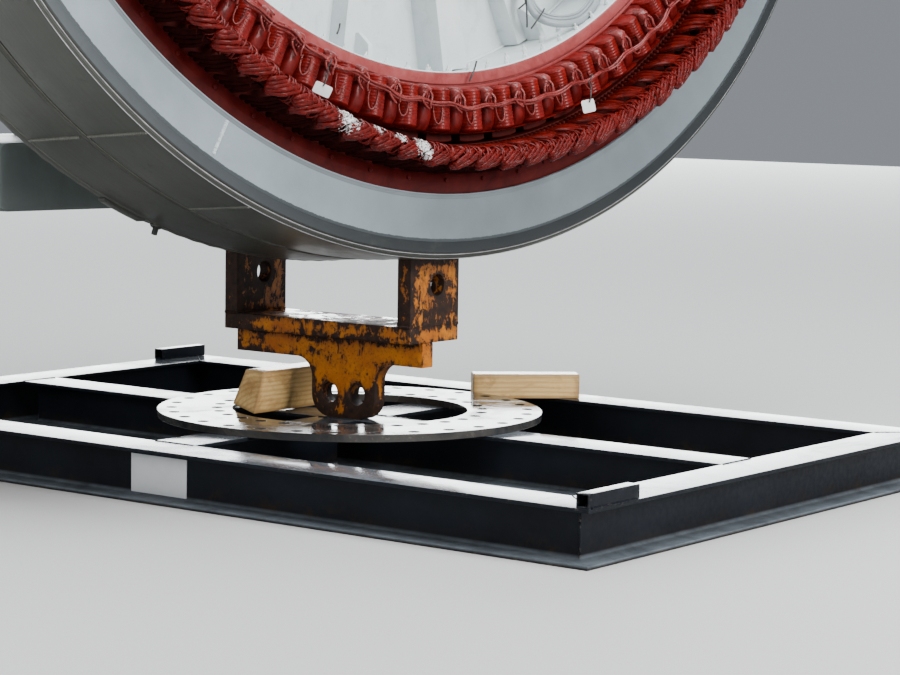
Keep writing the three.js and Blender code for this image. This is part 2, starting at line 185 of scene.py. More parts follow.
def tube_mesh(paths, radius, toward, sides=8, closed=False):
    """Round tubes along k paths of n points: point + radius (cos f normal + sin f binormal).

    toward, one vector or one for each point, leads the normal, and open tubes end in fans. The result is the
    points, the faces and one uv pair for each corner: the run along the path in metres and the share of the
    turn round it."""
    k, n, _ = paths.shape
    if closed:
        along = np.roll(paths, -1, 1) - np.roll(paths, 1, 1)
    else:
        along = np.gradient(paths, axis=1)
    along /= np.linalg.norm(along, axis=-1, keepdims=True)
    normal = toward - np.sum(toward * along, -1, keepdims=True) * along
    normal /= np.linalg.norm(normal, axis=-1, keepdims=True)
    binormal = np.cross(along, normal)
    f = angles(sides)
    r = np.broadcast_to(np.asarray(radius, float), (k, n))[..., None, None]
    skin = paths[:, :, None] + r * (np.cos(f)[:, None] * normal[:, :, None]
                                    + np.sin(f)[:, None] * binormal[:, :, None])
    step = np.linalg.norm(np.diff(paths, axis=1), axis=-1)
    run = np.concatenate([np.zeros((k, 1)), np.cumsum(step, 1)], 1)
    quads = grid(n, sides, closed, True)
    i, j = np.divmod(quads, sides)
    v = j.astype(float)
    v[:, 1:3] = np.where(j[:, 1:3] < j[:, [0, 3]], sides, j[:, 1:3])
    uv = np.stack([run[:, i], np.broadcast_to(v / sides, (k,) + v.shape)], -1)
    if closed:
        points, faces = copies(skin.reshape(k, -1, 3), [quads], k)
        return points, faces, uv.reshape(-1, 2)
    whole = np.concatenate([skin.reshape(k, -1, 3), paths[:, :1], paths[:, -1:]], 1)
    points, faces = copies(whole, [quads, end_fans(n, sides)], k)
    ends = np.zeros((k, sides * 6, 2))
    ends[:, sides * 3:, 0] = run[:, -1:]
    return points, faces, np.concatenate([uv.reshape(-1, 2), ends.reshape(-1, 2)])


def tubes(name, paths, radius, toward, look, body, sides=8, closed=False, stands_for=(), slot=None):
    """A piece of round tubes along the paths, see tube_mesh."""
    points, faces, uv = tube_mesh(paths, radius, toward, sides, closed)
    return put(name, points, faces, look, body, stands_for, sharp=60, uv=uv)


def ring_tubes(name, x, r, a, radius, look, body, **more):
    """Tubes whose paths are ring places, with their normals led outward from the axis."""
    x, r, a = np.broadcast_arrays(np.asarray(x, float), r, a)
    return tubes(name, ring_place(x, r, a), radius, outward(a), look, body, **more)


def fasteners(places, axes, rows, sides):
    """Small turned shapes: an outline of rows (height, radius) carried round axes (k, 3) at places (k, 3).

    The first and last rows close on a point at their middle."""
    rows = np.array(rows)
    axes = axes / np.linalg.norm(axes, axis=-1, keepdims=True)
    helper = np.where(np.abs(axes[:, 2:3]) < 0.8, [[0, 0, 1.0]], [[1.0, 0, 0]])
    u = np.cross(helper, axes)
    u /= np.linalg.norm(u, axis=-1, keepdims=True)
    v = np.cross(axes, u)
    f = angles(sides)[:, None]
    spoke = np.cos(f) * u[:, None, None] + np.sin(f) * v[:, None, None]
    height, radius = rows[None, :, None, :1], rows[None, :, None, 1:]
    skin = places[:, None, None] + height * axes[:, None, None] + radius * spoke
    foot, top = places + rows[0, 0] * axes, places + rows[-1, 0] * axes
    whole = np.concatenate([skin.reshape(len(places), -1, 3), foot[:, None], top[:, None]], 1)
    return copies(whole, [grid(len(rows), sides, False, True), end_fans(len(rows), sides)], len(places))


def merged(parts):
    """Joins several (points, faces) sets into one."""
    points, faces, start = [], [], 0
    for p, f in parts:
        points.append(p)
        faces += [g + start for g in f]
        start += len(p)
    return np.concatenate(points), faces


def fastened(name, places, axes, outlines, look, body):
    """A piece of fasteners: each outline, a pair (rows, sides), stands at every place."""
    axes = np.broadcast_to(axes, places.shape)
    points, faces = merged([fasteners(places, axes, rows, sides) for rows, sides in outlines])
    return put(name, points, faces, look, body)


def edge_distance(points, segments):
    """Distance from each point to the nearest of the straight edges (k, 2, 3), one value a point."""
    points = np.asarray(points, float)
    best = np.full(len(points), 9.0)
    for chunk in np.array_split(np.arange(len(segments)), max(1, len(segments) // 60)):
        foot, along = segments[chunk, 0], segments[chunk, 1] - segments[chunk, 0]
        t = np.einsum("pkx,kx->pk", points[:, None] - foot, along) / np.sum(along * along, -1)
        gap = points[:, None] - foot - np.clip(t, 0, 1)[..., None] * along
        best = np.minimum(best, np.sqrt(np.min(np.sum(gap * gap, -1), 1)))
    return best


def dressed(node, look, bevel, cell, body=FIXED, passes=3, bend=28):
    """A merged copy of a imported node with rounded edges, cut to small cells.

    Its mark "edge" is the distance to the nearest sharp edge, for wear, and "wet" is 1 where it looks up."""
    work = bmesh.new()
    work.from_mesh(nodes[node].data)
    bmesh.ops.remove_doubles(work, verts=work.verts, dist=2e-5)
    bmesh.ops.dissolve_limit(work, angle_limit=math.radians(0.8), verts=work.verts, edges=work.edges)
    sharp = [e for e in work.edges if len(e.link_faces) == 2 and e.calc_face_angle(0) > math.radians(bend)]
    lines = np.array([[v.co for v in e.verts] for e in sharp])
    bmesh.ops.bevel(work, geom=sharp, offset=bevel, segments=2, profile=0.6, affect="EDGES",
                    clamp_overlap=True)
    bmesh.ops.triangulate(work, faces=work.faces)
    for _ in range(passes):
        long = [e for e in work.edges if e.calc_length() > cell]
        bmesh.ops.subdivide_edges(work, edges=long, cuts=1)
        bmesh.ops.triangulate(work, faces=work.faces)
    mesh = bpy.data.meshes.new(node + "_finished")
    work.to_mesh(mesh)
    work.free()
    points = np.empty(len(mesh.vertices) * 3, np.float32)
    mesh.vertices.foreach_get("co", points)
    facing = np.empty(len(mesh.vertices) * 3, np.float32)
    mesh.vertices.foreach_get("normal", facing)
    mark_points(mesh, {"edge": edge_distance(points.reshape(-1, 3), lines), "wet": facing[2::3] > 0.97})
    mesh.polygons.foreach_set("use_smooth", np.ones(len(mesh.polygons), bool))
    mesh.set_sharp_from_angle(angle=math.radians(24))
    return shown(node + "_finished", mesh, look, body, (node,))


# Finishes
class Finish:
    """A node material: each call adds one node and gives back its output."""

    def __init__(self, name, color, rough=0.5, metal=0.0, coat=0.0, specular=0.5):
        self.material = bpy.data.materials.new(name)
        self.material.use_nodes = True
        self.tree = self.material.node_tree
        self.shader = self.tree.nodes["Principled BSDF"]
        for socket, value in (("Base Color", (*color, 1)), ("Roughness", rough), ("Metallic", metal),
                              ("Coat Weight", coat), ("Coat Roughness", 0.1),
                              ("Specular IOR Level", specular)):
            self.shader.inputs[socket].default_value = value
        self.place = self.node("ShaderNodeTexCoord").outputs["Object"]

    def node(self, kind, **settings):
        made = self.tree.nodes.new(kind)
        for key, value in settings.items():
            setattr(made, key, value)
        return made

    def feed(self, socket, value):
        """Links an output, or sets a plain number or colour."""
        if isinstance(value, bpy.types.NodeSocket):
            self.tree.links.new(value, socket)
        elif isinstance(value, (tuple, list)) and len(value) == 3 and socket.type == "RGBA":
            socket.default_value = (*value, 1)
        else:
            socket.default_value = value

    def set(self, **sockets):
        for key, value in sockets.items():
            self.feed(self.shader.inputs[key.replace("_", " ")], value)
        return self

    def on_ring(self):
        """Object places turned into ring places: x along the axis, y across, z up the tilted face."""
        turn = self.node("ShaderNodeMapping", vector_type="TEXTURE")
        turn.inputs["Location"].default_value = RING_CENTRE
        turn.inputs["Rotation"].default_value = Matrix(RING_AXES.T).to_euler("XYZ")
        self.feed(turn.inputs["Vector"], self.place)
        return turn.outputs[0]

    def stretch(self, vector, factors):
        scaled = self.node("ShaderNodeVectorMath", operation="MULTIPLY")
        self.feed(scaled.inputs[0], vector)
        scaled.inputs[1].default_value = factors
        return scaled.outputs[0]

    def noise(self, scale, detail=4.0, rough=0.6, twist=0.0, vector=None):
        made = self.node("ShaderNodeTexNoise")
        self.feed(made.inputs["Vector"], vector or self.place)
        for key, value in (("Scale", scale), ("Detail", detail), ("Roughness", rough), ("Distortion", twist)):
            made.inputs[key].default_value = value
        return made.outputs["Fac"]

    def math(self, operation, a, b, clamp=False):
        made = self.node("ShaderNodeMath", operation=operation, use_clamp=clamp)
        self.feed(made.inputs[0], a)
        self.feed(made.inputs[1], b)
        return made.outputs[0]

    def add(self, a, b, clamp=False):
        return self.math("ADD", a, b, clamp)

    def times(self, a, b):
        return self.math("MULTIPLY", a, b)

    def span(self, value, low, high, out_low=0.0, out_high=1.0):
        """Value carried from low..high to out_low..out_high and held there."""
        made = self.node("ShaderNodeMapRange", clamp=True)
        for socket, given in zip(made.inputs, (value, low, high, out_low, out_high)):
            self.feed(socket, given)
        return made.outputs[0]

    def mix(self, factor, a, b, blend="MIX"):
        made = self.node("ShaderNodeMix", data_type="RGBA", blend_type=blend)
        self.feed(made.inputs[0], factor)
        self.feed(made.inputs[6], a)
        self.feed(made.inputs[7], b)
        return made.outputs[2]

    def between(self, factor, a, b):
        """Number that goes from a to b with the factor."""
        made = self.node("ShaderNodeMix", data_type="FLOAT")
        self.feed(made.inputs[0], factor)
        self.feed(made.inputs[2], a)
        self.feed(made.inputs[3], b)
        return made.outputs[0]

    def part(self, vector, which):
        made = self.node("ShaderNodeSeparateXYZ")
        self.feed(made.inputs[0], vector)
        return made.outputs[which]

    def from_axis(self, ring):
        """Distance from the generator's axis."""
        made = self.node("ShaderNodeVectorMath", operation="LENGTH")
        self.feed(made.inputs[0], self.stretch(ring, (0.0, 1.0, 1.0)))
        return made.outputs["Value"]

    def mark(self, name):
        return self.node("ShaderNodeAttribute", attribute_name=name).outputs["Fac"]

    def bump(self, height, depth, strength):
        made = self.node("ShaderNodeBump")
        made.inputs["Strength"].default_value = strength
        made.inputs["Distance"].default_value = depth
        self.feed(made.inputs["Height"], height)
        self.feed(self.shader.inputs["Normal"], made.outputs[0])


def frame_black():
    """Black paint: wet mirror-like tops (mark "wet") with a painted pale sky reflection in their base, dull
    webs, mud wash low down, chipped flange edges, and a painted sheen on the bottom flange's top.
    """
    f = Finish("wet_black_paint", (0.006, 0.007, 0.009), 0.3, specular=0.12)
    z = f.part(f.place, 2)
    wet = f.mark("wet")
    blotch = f.noise(1.7, 5, 0.6, 0.4)
    fine = f.noise(38, 4, 0.7)
    base = f.mix(f.span(blotch, 0.35, 0.7), (0.004, 0.005, 0.008), (0.008, 0.011, 0.017))
    # Painted reflection: faces that look up (mark "wet") get a pale blue-grey base in patches, standing in
    # for the sky mirrored on the wet tops.
    base = f.mix(f.times(wet, f.span(f.noise(2.2, 5, 0.65, 0.6), 0.34, 0.60)), base, (0.13, 0.148, 0.168))
    low = f.times(f.span(z, 0.075, 0.0), f.span(f.noise(5, 6, 0.7), 0.36, 0.66))
    washed = f.mix(f.times(low, 0.55), base, (0.040, 0.031, 0.021))
    film = f.times(f.span(z, 0.10, 0.03), f.span(f.noise(9, 6, 0.75, 0.6), 0.55, 0.62))
    mud = f.mix(f.times(film, 0.75), washed, (0.030, 0.021, 0.013))
    chips = f.times(f.span(f.mark("edge"), 0.012, 0.0), f.span(f.noise(55, 5, 0.75), 0.55, 0.62))
    # Painted sheen: a thin band of height over the bottom flange's top face and root is painted pale
    # blue-grey, as if it caught the sky.
    ledge_painted_sheen = f.times(f.times(f.span(z, 0.034, 0.020), f.span(z, 0.006, 0.014)),
                    f.span(f.noise(6, 6, 0.72, 0.5), 0.30, 0.62, 0.35, 1.0))
    f.set(Base_Color=f.mix(chips, f.mix(ledge_painted_sheen, mud, (0.115, 0.135, 0.155)), (0.07, 0.06, 0.05)))
    pool = f.span(f.noise(2.6, 5, 0.6, 0.8), 0.40, 0.66, 0.08, 0.26)
    dry = f.add(f.span(fine, 0.3, 0.7, 0.42, 0.58), f.times(f.math("MAXIMUM", low, film), 0.25))
    f.set(Roughness=f.between(wet, dry, pool))
    f.bump(f.add(f.times(fine, 0.12), f.times(blotch, 1.2)), 0.0010, 0.4)
    return f.material


def disc_black():
    """Wet black plate: pooled water between thin dry patches, so it mirrors the sky unevenly."""
    f = Finish("wet_black_plate", (0.014, 0.014, 0.015), 0.12, specular=0.35)
    pools = f.noise(3.2, 6, 0.62, 1.2)
    specks = f.noise(70, 4, 0.7)
    grit = f.span(specks, 0.62, 0.70)
    film = f.mix(f.span(pools, 0.4, 0.65), (0.026, 0.027, 0.029), (0.060, 0.056, 0.052))
    f.set(Base_Color=f.mix(f.times(grit, 0.6), film, (0.09, 0.06, 0.035)))
    f.set(Roughness=f.add(f.span(pools, 0.42, 0.66, 0.05, 0.30), f.times(grit, 0.2)))
    f.bump(f.add(pools, f.times(specks, 0.12)), 0.0018, 0.35)
    return f.material


def worn_orange():
    """Orange paint worn through in speckles and flakes to near-black rust, more by edges and low down."""
    f = Finish("worn_orange_paint", (0.5, 0.2, 0.01), 0.5, specular=0.3)
    cloud = f.noise(3.4, 7, 0.66, 0.5)
    flakes = f.noise(30, 9, 0.76, 0.7, f.stretch(f.place, (1.0, 1.0, 0.62)))
    scratch = f.noise(15, 6, 0.7, 0.3, f.stretch(f.place, (1.0, 1.0, 0.22)))
    z = f.part(f.place, 2)
    low = f.add(f.span(z, 0.43, 0.34, 0.0, 0.085),
                f.add(f.span(z, 0.716, 0.78, 0.0, 0.064), f.span(z, 0.30, 0.645, 0.012, 0.018)))
    near = f.add(f.span(f.mark("edge"), 0.040, 0.0, 0.0, 0.075), low)
    worn = f.add(f.add(f.times(cloud, 0.42), f.times(flakes, 0.46)), f.times(scratch, 0.16))
    worn = f.add(f.add(worn, near), f.times(f.mark("wet"), 0.045))
    bare = f.span(worn, 0.572, 0.592)
    paint = f.mix(f.span(f.noise(7, 6, 0.65), 0.3, 0.7), (0.37, 0.090, 0.002), (0.60, 0.200, 0.005))
    paint = f.mix(f.span(f.noise(85, 5, 0.75), 0.56, 0.64, 0.0, 0.9), paint, (0.10, 0.028, 0.004))
    rust = f.mix(f.span(f.noise(31, 6, 0.7), 0.35, 0.66), (0.008, 0.004, 0.003), (0.042, 0.016, 0.007))
    stain = f.span(worn, 0.525, 0.577, 0.0, 0.6)
    f.set(Base_Color=f.mix(bare, f.mix(stain, paint, (0.24, 0.070, 0.006)), rust))
    wet = f.times(f.mark("wet"), f.span(f.noise(6, 5, 0.7, 0.8), 0.50, 0.58))
    f.set(Roughness=f.between(wet, f.between(bare, f.span(cloud, 0.3, 0.7, 0.34, 0.50), 0.62), 0.06))
    f.bump(f.math("SUBTRACT", f.times(f.noise(120, 4, 0.7), 0.25), bare), 0.0014, 0.7)
    return f.material


def pine(name, along, side, height):
    """Fresh sawn pine: rings round a heart at (side, height) beside the block, fibres along it, brown ends.

    along is the block's turn about the vertical."""
    f = Finish(name, (0.6, 0.4, 0.2), 0.55)
    turn = f.node("ShaderNodeMapping", vector_type="TEXTURE")
    turn.inputs["Location"].default_value = (-side * math.sin(along), side * math.cos(along), height)
    turn.inputs["Rotation"].default_value = (0, 0, along)
    f.feed(turn.inputs["Vector"], f.place)
    grain = f.stretch(turn.outputs[0], (0.10, 1.0, 1.0))
    wave = f.node("ShaderNodeTexWave", wave_type="RINGS", rings_direction="X")
    f.feed(wave.inputs["Vector"], grain)
    for key, value in (("Scale", 13.0), ("Distortion", 2.2), ("Detail", 3.0), ("Detail Scale", 1.1)):
        wave.inputs[key].default_value = value
    fibre = f.noise(140, 4, 0.6, 0, grain)
    pale = f.mix(f.span(wave.outputs["Fac"], 0.35, 0.95), (0.80, 0.54, 0.225), (0.67, 0.405, 0.138))
    pale = f.mix(f.span(fibre, 0.42, 0.68, 0.0, 0.40), pale, (0.46, 0.26, 0.09))
    damp = f.span(f.noise(5, 6, 0.66, 0.8), 0.50, 0.66, 0.0, 0.70)
    worn = f.mix(f.span(f.mark("edge"), 0.020, 0.0, 0.0, 0.6), f.mix(damp, pale, (0.34, 0.165, 0.045)),
                 (0.24, 0.12, 0.05))
    # Painted reflection: faces that look up (mark "wet") are painted a pale grey-tan, standing in for the sky
    # mirrored on the wet tops.
    worn = f.mix(f.times(f.mark("wet"), 0.6), worn, (0.70, 0.63, 0.48))
    f.set(Base_Color=worn, Roughness=f.between(f.mark("wet"), f.span(fibre, 0.3, 0.7, 0.5, 0.7), 0.22))
    f.bump(f.add(fibre, f.times(wave.outputs["Fac"], 0.5)), 0.0009, 0.6)
    return f.material


def housing(name, base, rough, streak, lines, dirt=(0.045, 0.048, 0.042), shade=(), film=None):
    """Satin paint on a turned wall: thin streaks round the wall, broad clouding, speckled dirt.

    lines has the streaks' fineness along the axis and round it. shade has rows (y from, y to, strength) of
    painted shade across the ring, darkening the tone towards a quarter of the base colour. film (colour,
    radius) is a ragged outer border."""
    f = Finish(name, base, rough, specular=0.4)
    ring = f.on_ring()
    long = f.noise(1.0, 5, 0.62, 0.15, f.stretch(ring, (lines[0], lines[1], lines[1])))
    cloud = f.noise(1.5, 5, 0.6, 0.3)
    speck = f.noise(60, 5, 0.75)
    darker = tuple(c * 0.66 for c in base)
    paler = tuple(min(1.0, c * 1.22) for c in base)
    tone = f.mix(f.span(long, 0.34, 0.62), f.mix(0.6, base, darker), f.mix(0.4, base, paler))
    tone = f.mix(f.span(cloud, 0.35, 0.7, 0.0, streak), tone, darker)
    # Painted shade: darker across the ring between each row's two y values.
    for low, high, strength in shade:
        tone = f.mix(f.span(f.part(ring, 1), low, high, 0.0, strength), tone, tuple(c * 0.25 for c in base))
    if film:
        edge = f.add(f.from_axis(ring), f.times(f.noise(34, 7, 0.8), 0.016))
        tone = f.mix(f.span(edge, film[1] - 0.0004, film[1] + 0.0004), tone, film[0])
    grime = f.times(f.span(f.noise(9, 7, 0.72, 0.6), 0.57, 0.70), streak)
    tone = f.mix(f.add(grime, f.span(speck, 0.66, 0.72, 0.0, 0.5), True), tone, dirt)
    dull = f.add(f.span(cloud, 0.3, 0.7, rough - 0.08, rough + 0.10), f.times(grime, 0.2))
    f.set(Base_Color=tone, Roughness=dull)
    f.bump(f.add(f.noise(170, 3, 0.6), f.times(cloud, 3.0)), 0.0006, 0.4)
    return f.material


# White paint splashes on the end winding: their middle (x, y, z) on the ring and their reach
SPLASHES = (((0.690, -0.861, -2.288), 0.090), ((0.695, -0.895, -2.340), 0.050),
            ((0.690, -0.681, -2.345), 0.045), ((0.690, -0.556, -2.385), 0.040),
            ((0.695, -0.430, -2.425), 0.070), ((0.700, -0.417, -2.466), 0.045))


def varnish(name, deep, bright, rough, coat, scale, lumps, patches=False, gloss=0.25):
    """Thick insulating varnish over tape and cord: runs, wrinkles, bright build-up, and with patches the few
    white paint splashes."""
    f = Finish(name, deep, rough, coat=coat, specular=gloss)
    wrinkle = f.noise(scale, 6, 0.62, 1.4)
    pool = f.noise(scale * 0.28, 4, 0.6, 0.6)
    tone = f.mix(f.span(f.add(f.times(wrinkle, 0.6), f.times(pool, 0.4)), 0.36, 0.66), deep, bright)
    if patches:
        ring = f.on_ring()
        reach = 0.0
        for centre, size in SPLASHES:
            gap = f.node("ShaderNodeVectorMath", operation="DISTANCE")
            f.feed(gap.inputs[0], ring)
            gap.inputs[1].default_value = centre
            reach = f.math("MAXIMUM", f.span(gap.outputs["Value"], size, size * 0.35), reach)
        ragged = f.span(f.add(f.noise(60, 6, 0.75, 1.2), f.times(reach, 0.16)), 0.60, 0.63)
        tone = f.mix(f.times(ragged, f.span(reach, 0.02, 0.15)), tone, (0.72, 0.73, 0.73))
    f.set(Base_Color=tone, Roughness=f.span(pool, 0.35, 0.7, rough, rough + 0.16))
    f.bump(f.add(wrinkle, f.times(f.noise(scale * 4, 4, 0.7), 0.3)), lumps, 0.75)
    return f.material


def white_paint():
    """Thin white paint on cast and welded steel: cool grey clouding, small dark chips, grime in scattered
    patches.
    """
    f = Finish("rotor_white_paint", (0.60, 0.66, 0.66), 0.42, specular=0.4)
    cloud = f.noise(3.0, 6, 0.62, 0.4)
    tone = f.mix(f.span(cloud, 0.32, 0.68), (0.56, 0.615, 0.625), (0.66, 0.705, 0.71))
    chip = f.span(f.noise(48, 5, 0.72), 0.685, 0.71)
    tone = f.mix(f.times(chip, 0.75), tone, (0.12, 0.13, 0.12))
    grime = f.times(f.span(f.noise(8, 6, 0.7, 0.5), 0.52, 0.72), 0.35)
    f.set(Base_Color=f.mix(grime, tone, (0.32, 0.36, 0.34)), Roughness=f.span(cloud, 0.3, 0.7, 0.36, 0.52))
    f.bump(f.add(f.noise(95, 4, 0.6), f.times(cloud, 2.0)), 0.0007, 0.5)
    return f.material


def plain_steel(name, tone, rough, metal, spread, scale=60.0):
    """Bare or zinc-coated steel: clouded tone, fine scratches and dull spots."""
    f = Finish(name, tone, rough, metal)
    cloud = f.noise(scale * 0.3, 5, 0.65, 0.5)
    darker = tuple(c * (1 - spread) for c in tone)
    f.set(Base_Color=f.mix(f.span(cloud, 0.35, 0.68), darker, tone),
          Roughness=f.span(f.noise(scale, 5, 0.7), 0.3, 0.7, rough - 0.1, rough + 0.18))
    f.bump(f.noise(scale * 4, 4, 0.7), 0.0003, 0.5)
    return f.material


def plastic(name, tone, rough, scale=80.0):
    """Moulded or drawn plastic: an even tone with faint clouding, dust and a soft grain."""
    f = Finish(name, tone, rough)
    dust = f.span(f.noise(scale * 0.35, 6, 0.7), 0.45, 0.75, 0.0, 0.3)
    f.set(Base_Color=f.mix(dust, tone, tuple(0.6 * c + 0.12 for c in tone)),
          Roughness=f.span(f.noise(scale, 4, 0.6), 0.3, 0.7, rough - 0.06, rough + 0.12))
    f.bump(f.noise(scale * 3, 3, 0.6), 0.0002, 0.5)
    return f.material


def satin_paint(name, tone, rough, dirt, wear):
    """Brushed-on machine paint with dull clouding, runs of dirt downward and paler worn edges."""
    f = Finish(name, tone, rough)
    cloud = f.noise(1.8, 6, 0.65, 0.4)
    run = f.noise(7.0, 6, 0.65, 0.2, f.stretch(f.place, (1, 1, 0.18)))
    base = f.mix(f.span(cloud, 0.35, 0.68), tuple(c * 0.82 for c in tone), tuple(c * 1.12 for c in tone))
    base = f.mix(f.span(run, 0.52, 0.75, 0.0, 0.5), base, dirt)
    base = f.mix(f.times(f.span(f.mark("edge"), 0.02, 0.0), wear), base, tuple(c * 1.8 for c in tone))
    f.set(Base_Color=base, Roughness=f.span(cloud, 0.3, 0.7, rough - 0.08, rough + 0.12))
    f.bump(f.add(f.noise(110, 4, 0.6), f.times(cloud, 2.0)), 0.0008, 0.4)
    return f.material


BLACK = frame_black()
PLATE = disc_black()
ORANGE = worn_orange()
PINE = {"front_timber_block": pine("sawn_pine", math.pi / 2, 0.36, 0.17),
        "back_timber_block": pine("sawn_pine_behind", math.radians(43), 0.66, 0.12)}
SLATE = (0.043, 0.052, 0.058)
# Painted shade: the shade rows below darken the drum, band, cover and seam paints over one stretch across the
# ring each.
DRUM = housing("drum_paint", (0.064, 0.067, 0.057), 0.36, 0.45, (90, 0.4), shade=((-2.5, -0.9, 0.50),))
BAND = housing("rim_band_paint", (0.060, 0.071, 0.077), 0.40, 0.5, (3, 3), shade=((-2.1, -0.4, 0.92),))
COVER = housing("cover_paint", (0.262, 0.312, 0.346), 0.42, 0.14, (2, 1.2), (0.11, 0.12, 0.12),
                shade=((-2.10, -2.70, 0.80), (-1.3, 0.1, 0.50)), film=(SLATE, 2.8655))
LIP = housing("cover_lip_paint", (0.15, 0.175, 0.19), 0.45, 0.2, (2, 1.2))
SEAM = housing("weld_seam_paint", (0.130, 0.132, 0.112), 0.38, 0.5, (20, 20), shade=((-2.3, -1.0, 0.55),))

ROPE = varnish("rope_varnish", (0.040, 0.0015, 0.001), (0.150, 0.0052, 0.0036), 0.16, 0.12, 48, 0.008,
               patches=True, gloss=0.10)
LASH = varnish("lashing_varnish", (0.060, 0.003, 0.002), (0.200, 0.014, 0.011), 0.20, 0.10, 30, 0.004,
               patches=True, gloss=0.12)
STRAND = varnish("strand_varnish", (0.035, 0.002, 0.0015), (0.185, 0.008, 0.005), 0.14, 0.45, 22, 0.003)
# Painted shade: near-black varnish for the outer strands, the rope's core and the loose tape tails, standing
# in for the shadow under the rope.
SHADED = varnish("shaded_varnish", (0.007, 0.0009, 0.0007), (0.024, 0.0022, 0.0016), 0.75, 0.0, 26, 0.003,
                 gloss=0.04)
COIL = varnish("coil_varnish", (0.075, 0.0028, 0.0024), (0.225, 0.010, 0.008), 0.24, 0.12, 40, 0.0022,
               gloss=0.14)
FLAT = varnish("pad_varnish", (0.055, 0.0023, 0.002), (0.165, 0.007, 0.006), 0.32, 0.08, 24, 0.0022,
               gloss=0.14)
LOOP = varnish("loop_varnish", (0.090, 0.006, 0.005), (0.22, 0.028, 0.024), 0.28, 0.15, 40, 0.001, gloss=0.2)
PAD = varnish("terminal_varnish", (0.085, 0.006, 0.005), (0.27, 0.042, 0.039), 0.22, 0.25, 34, 0.003)
CORE = varnish("core_varnish", (0.040, 0.003, 0.002), (0.09, 0.007, 0.005), 0.50, 0.0, 18, 0.002, gloss=0.15)
CLAMP = varnish("clamp_ring_varnish", (0.034, 0.0019, 0.0016), (0.078, 0.0052, 0.0044), 0.30, 0.06, 9,
                0.0012, gloss=0.12)
# Painted sheen: the rim's red carries a pinkish grey in its base, standing in for the gloss on its face.
RIM = varnish("rim_red_paint_and_sheen", (0.22, 0.034, 0.033), (0.34, 0.078, 0.077), 0.30, 0.25, 14, 0.0008)

WHITE = white_paint()
ZINC = plain_steel("zinc_fasteners", (0.72, 0.73, 0.72), 0.42, 0.2, 0.3)
BARE = plain_steel("bare_machined_steel", (0.42, 0.43, 0.44), 0.30, 0.95, 0.3)
DRAIN = plain_steel("dark_drain_steel", (0.030, 0.034, 0.030), 0.45, 0.3, 0.3)
EDGE = plain_steel("polished_edge_steel", (0.56, 0.56, 0.58), 0.36, 0.5, 0.4)
CONDUIT = plastic("grey_conduit", (0.25, 0.285, 0.30), 0.36)
TIE = plastic("black_tie", (0.012, 0.012, 0.013), 0.35)
TAG = plastic("white_tag", (0.78, 0.79, 0.80), 0.4)
NOTICE = plastic("white_notice", (0.72, 0.74, 0.76), 0.35, 40)
SEALANT = plastic("brown_sealant", (0.038, 0.033, 0.025), 0.6)
CARRIER = satin_paint("carrier_paint", (0.115, 0.140, 0.134), 0.42, (0.07, 0.085, 0.08), 0.3)
STAR = satin_paint("star_paint", (0.075, 0.092, 0.088), 0.45, (0.03, 0.032, 0.028), 0.4)


# Transport frame
BEAM = 0.24
FLANGE_T, WEB_T, ROOT_R = 0.017, 0.010, 0.021
FRAME_HALF = np.array([2.4, 1.5])
CORNERS = ((-1, -1), (-1, 1), (1, -1), (1, 1))


def beam_profile():
    """Wide-flange section as a closed profile (outward, up) with rolled roots and eased tips."""
    h, w, f, tip, edge = BEAM / 2, WEB_T / 2, BEAM / 2 - FLANGE_T, 0.003, 0.0015
    right = [(h, -h, edge), (h, -f, tip), (w, -f, ROOT_R), (w, f, ROOT_R), (h, f, tip), (h, h, edge)]
    left = [(-x, -z, fillet) for x, z, fillet in right]
    return rounded([left[-1], *right, *left[:-1]], 4)


def beam(node, away, centre, half, mitre):
    """The section carried along its beam between two mitred or square ends.

    Its mark "edge" is the distance to the nearest corner of the section, and "wet" is 1 on its top."""
    p = beam_profile()
    up = np.array([0, 0, 1.0])
    side = np.cross(away, up)
    s = np.linspace(-1, 1, 25)[:, None]
    along = s * (half + mitre * p[None, :, 0])
    points = (np.array(centre) + p[None, :, :1] * np.array(away, float) + p[None, :, 1:] * up
              + along[..., None] * side)
    near = np.min(np.linalg.norm(p[:, None] - np.array(CORNERS) * BEAM / 2, axis=-1), 1)
    wet = p[:, 1] > BEAM / 2 - 0.0006
    return put(node + "_rolled", points, capped(len(s), len(p)), BLACK, FIXED, (node,), 30,
               marks={"edge": np.tile(near, len(s)), "wet": np.tile(wet, len(s))})


beam_x, beam_y = FRAME_HALF - BEAM / 2
HALF_BEAM = BEAM / 2
MITRED_GAP, BUTTED_GAP = 0.0002, 0.0003
beam("front_beam", (0, -1, 0), (0, -beam_y, HALF_BEAM), beam_x - MITRED_GAP, 1)
beam("back_beam", (0, 1, 0), (0, beam_y, HALF_BEAM), beam_x - MITRED_GAP, 1)
beam("right_end_beam", (1, 0, 0), (beam_x, 0, HALF_BEAM), beam_y - MITRED_GAP, 1)
beam("left_end_beam", (-1, 0, 0), (-beam_x, 0, HALF_BEAM), beam_y - MITRED_GAP, 1)
beam("middle_beam", (0, -1, 0), (0, 0, HALF_BEAM), beam_x - HALF_BEAM - BUTTED_GAP, 0)
bay = (beam_y - BEAM) / 2
beam("front_cross_beam", (1, 0, 0), (0, -beam_y / 2, HALF_BEAM), bay - BUTTED_GAP, 0)
beam("back_cross_beam", (1, 0, 0), (0, beam_y / 2, HALF_BEAM), bay - BUTTED_GAP, 0)


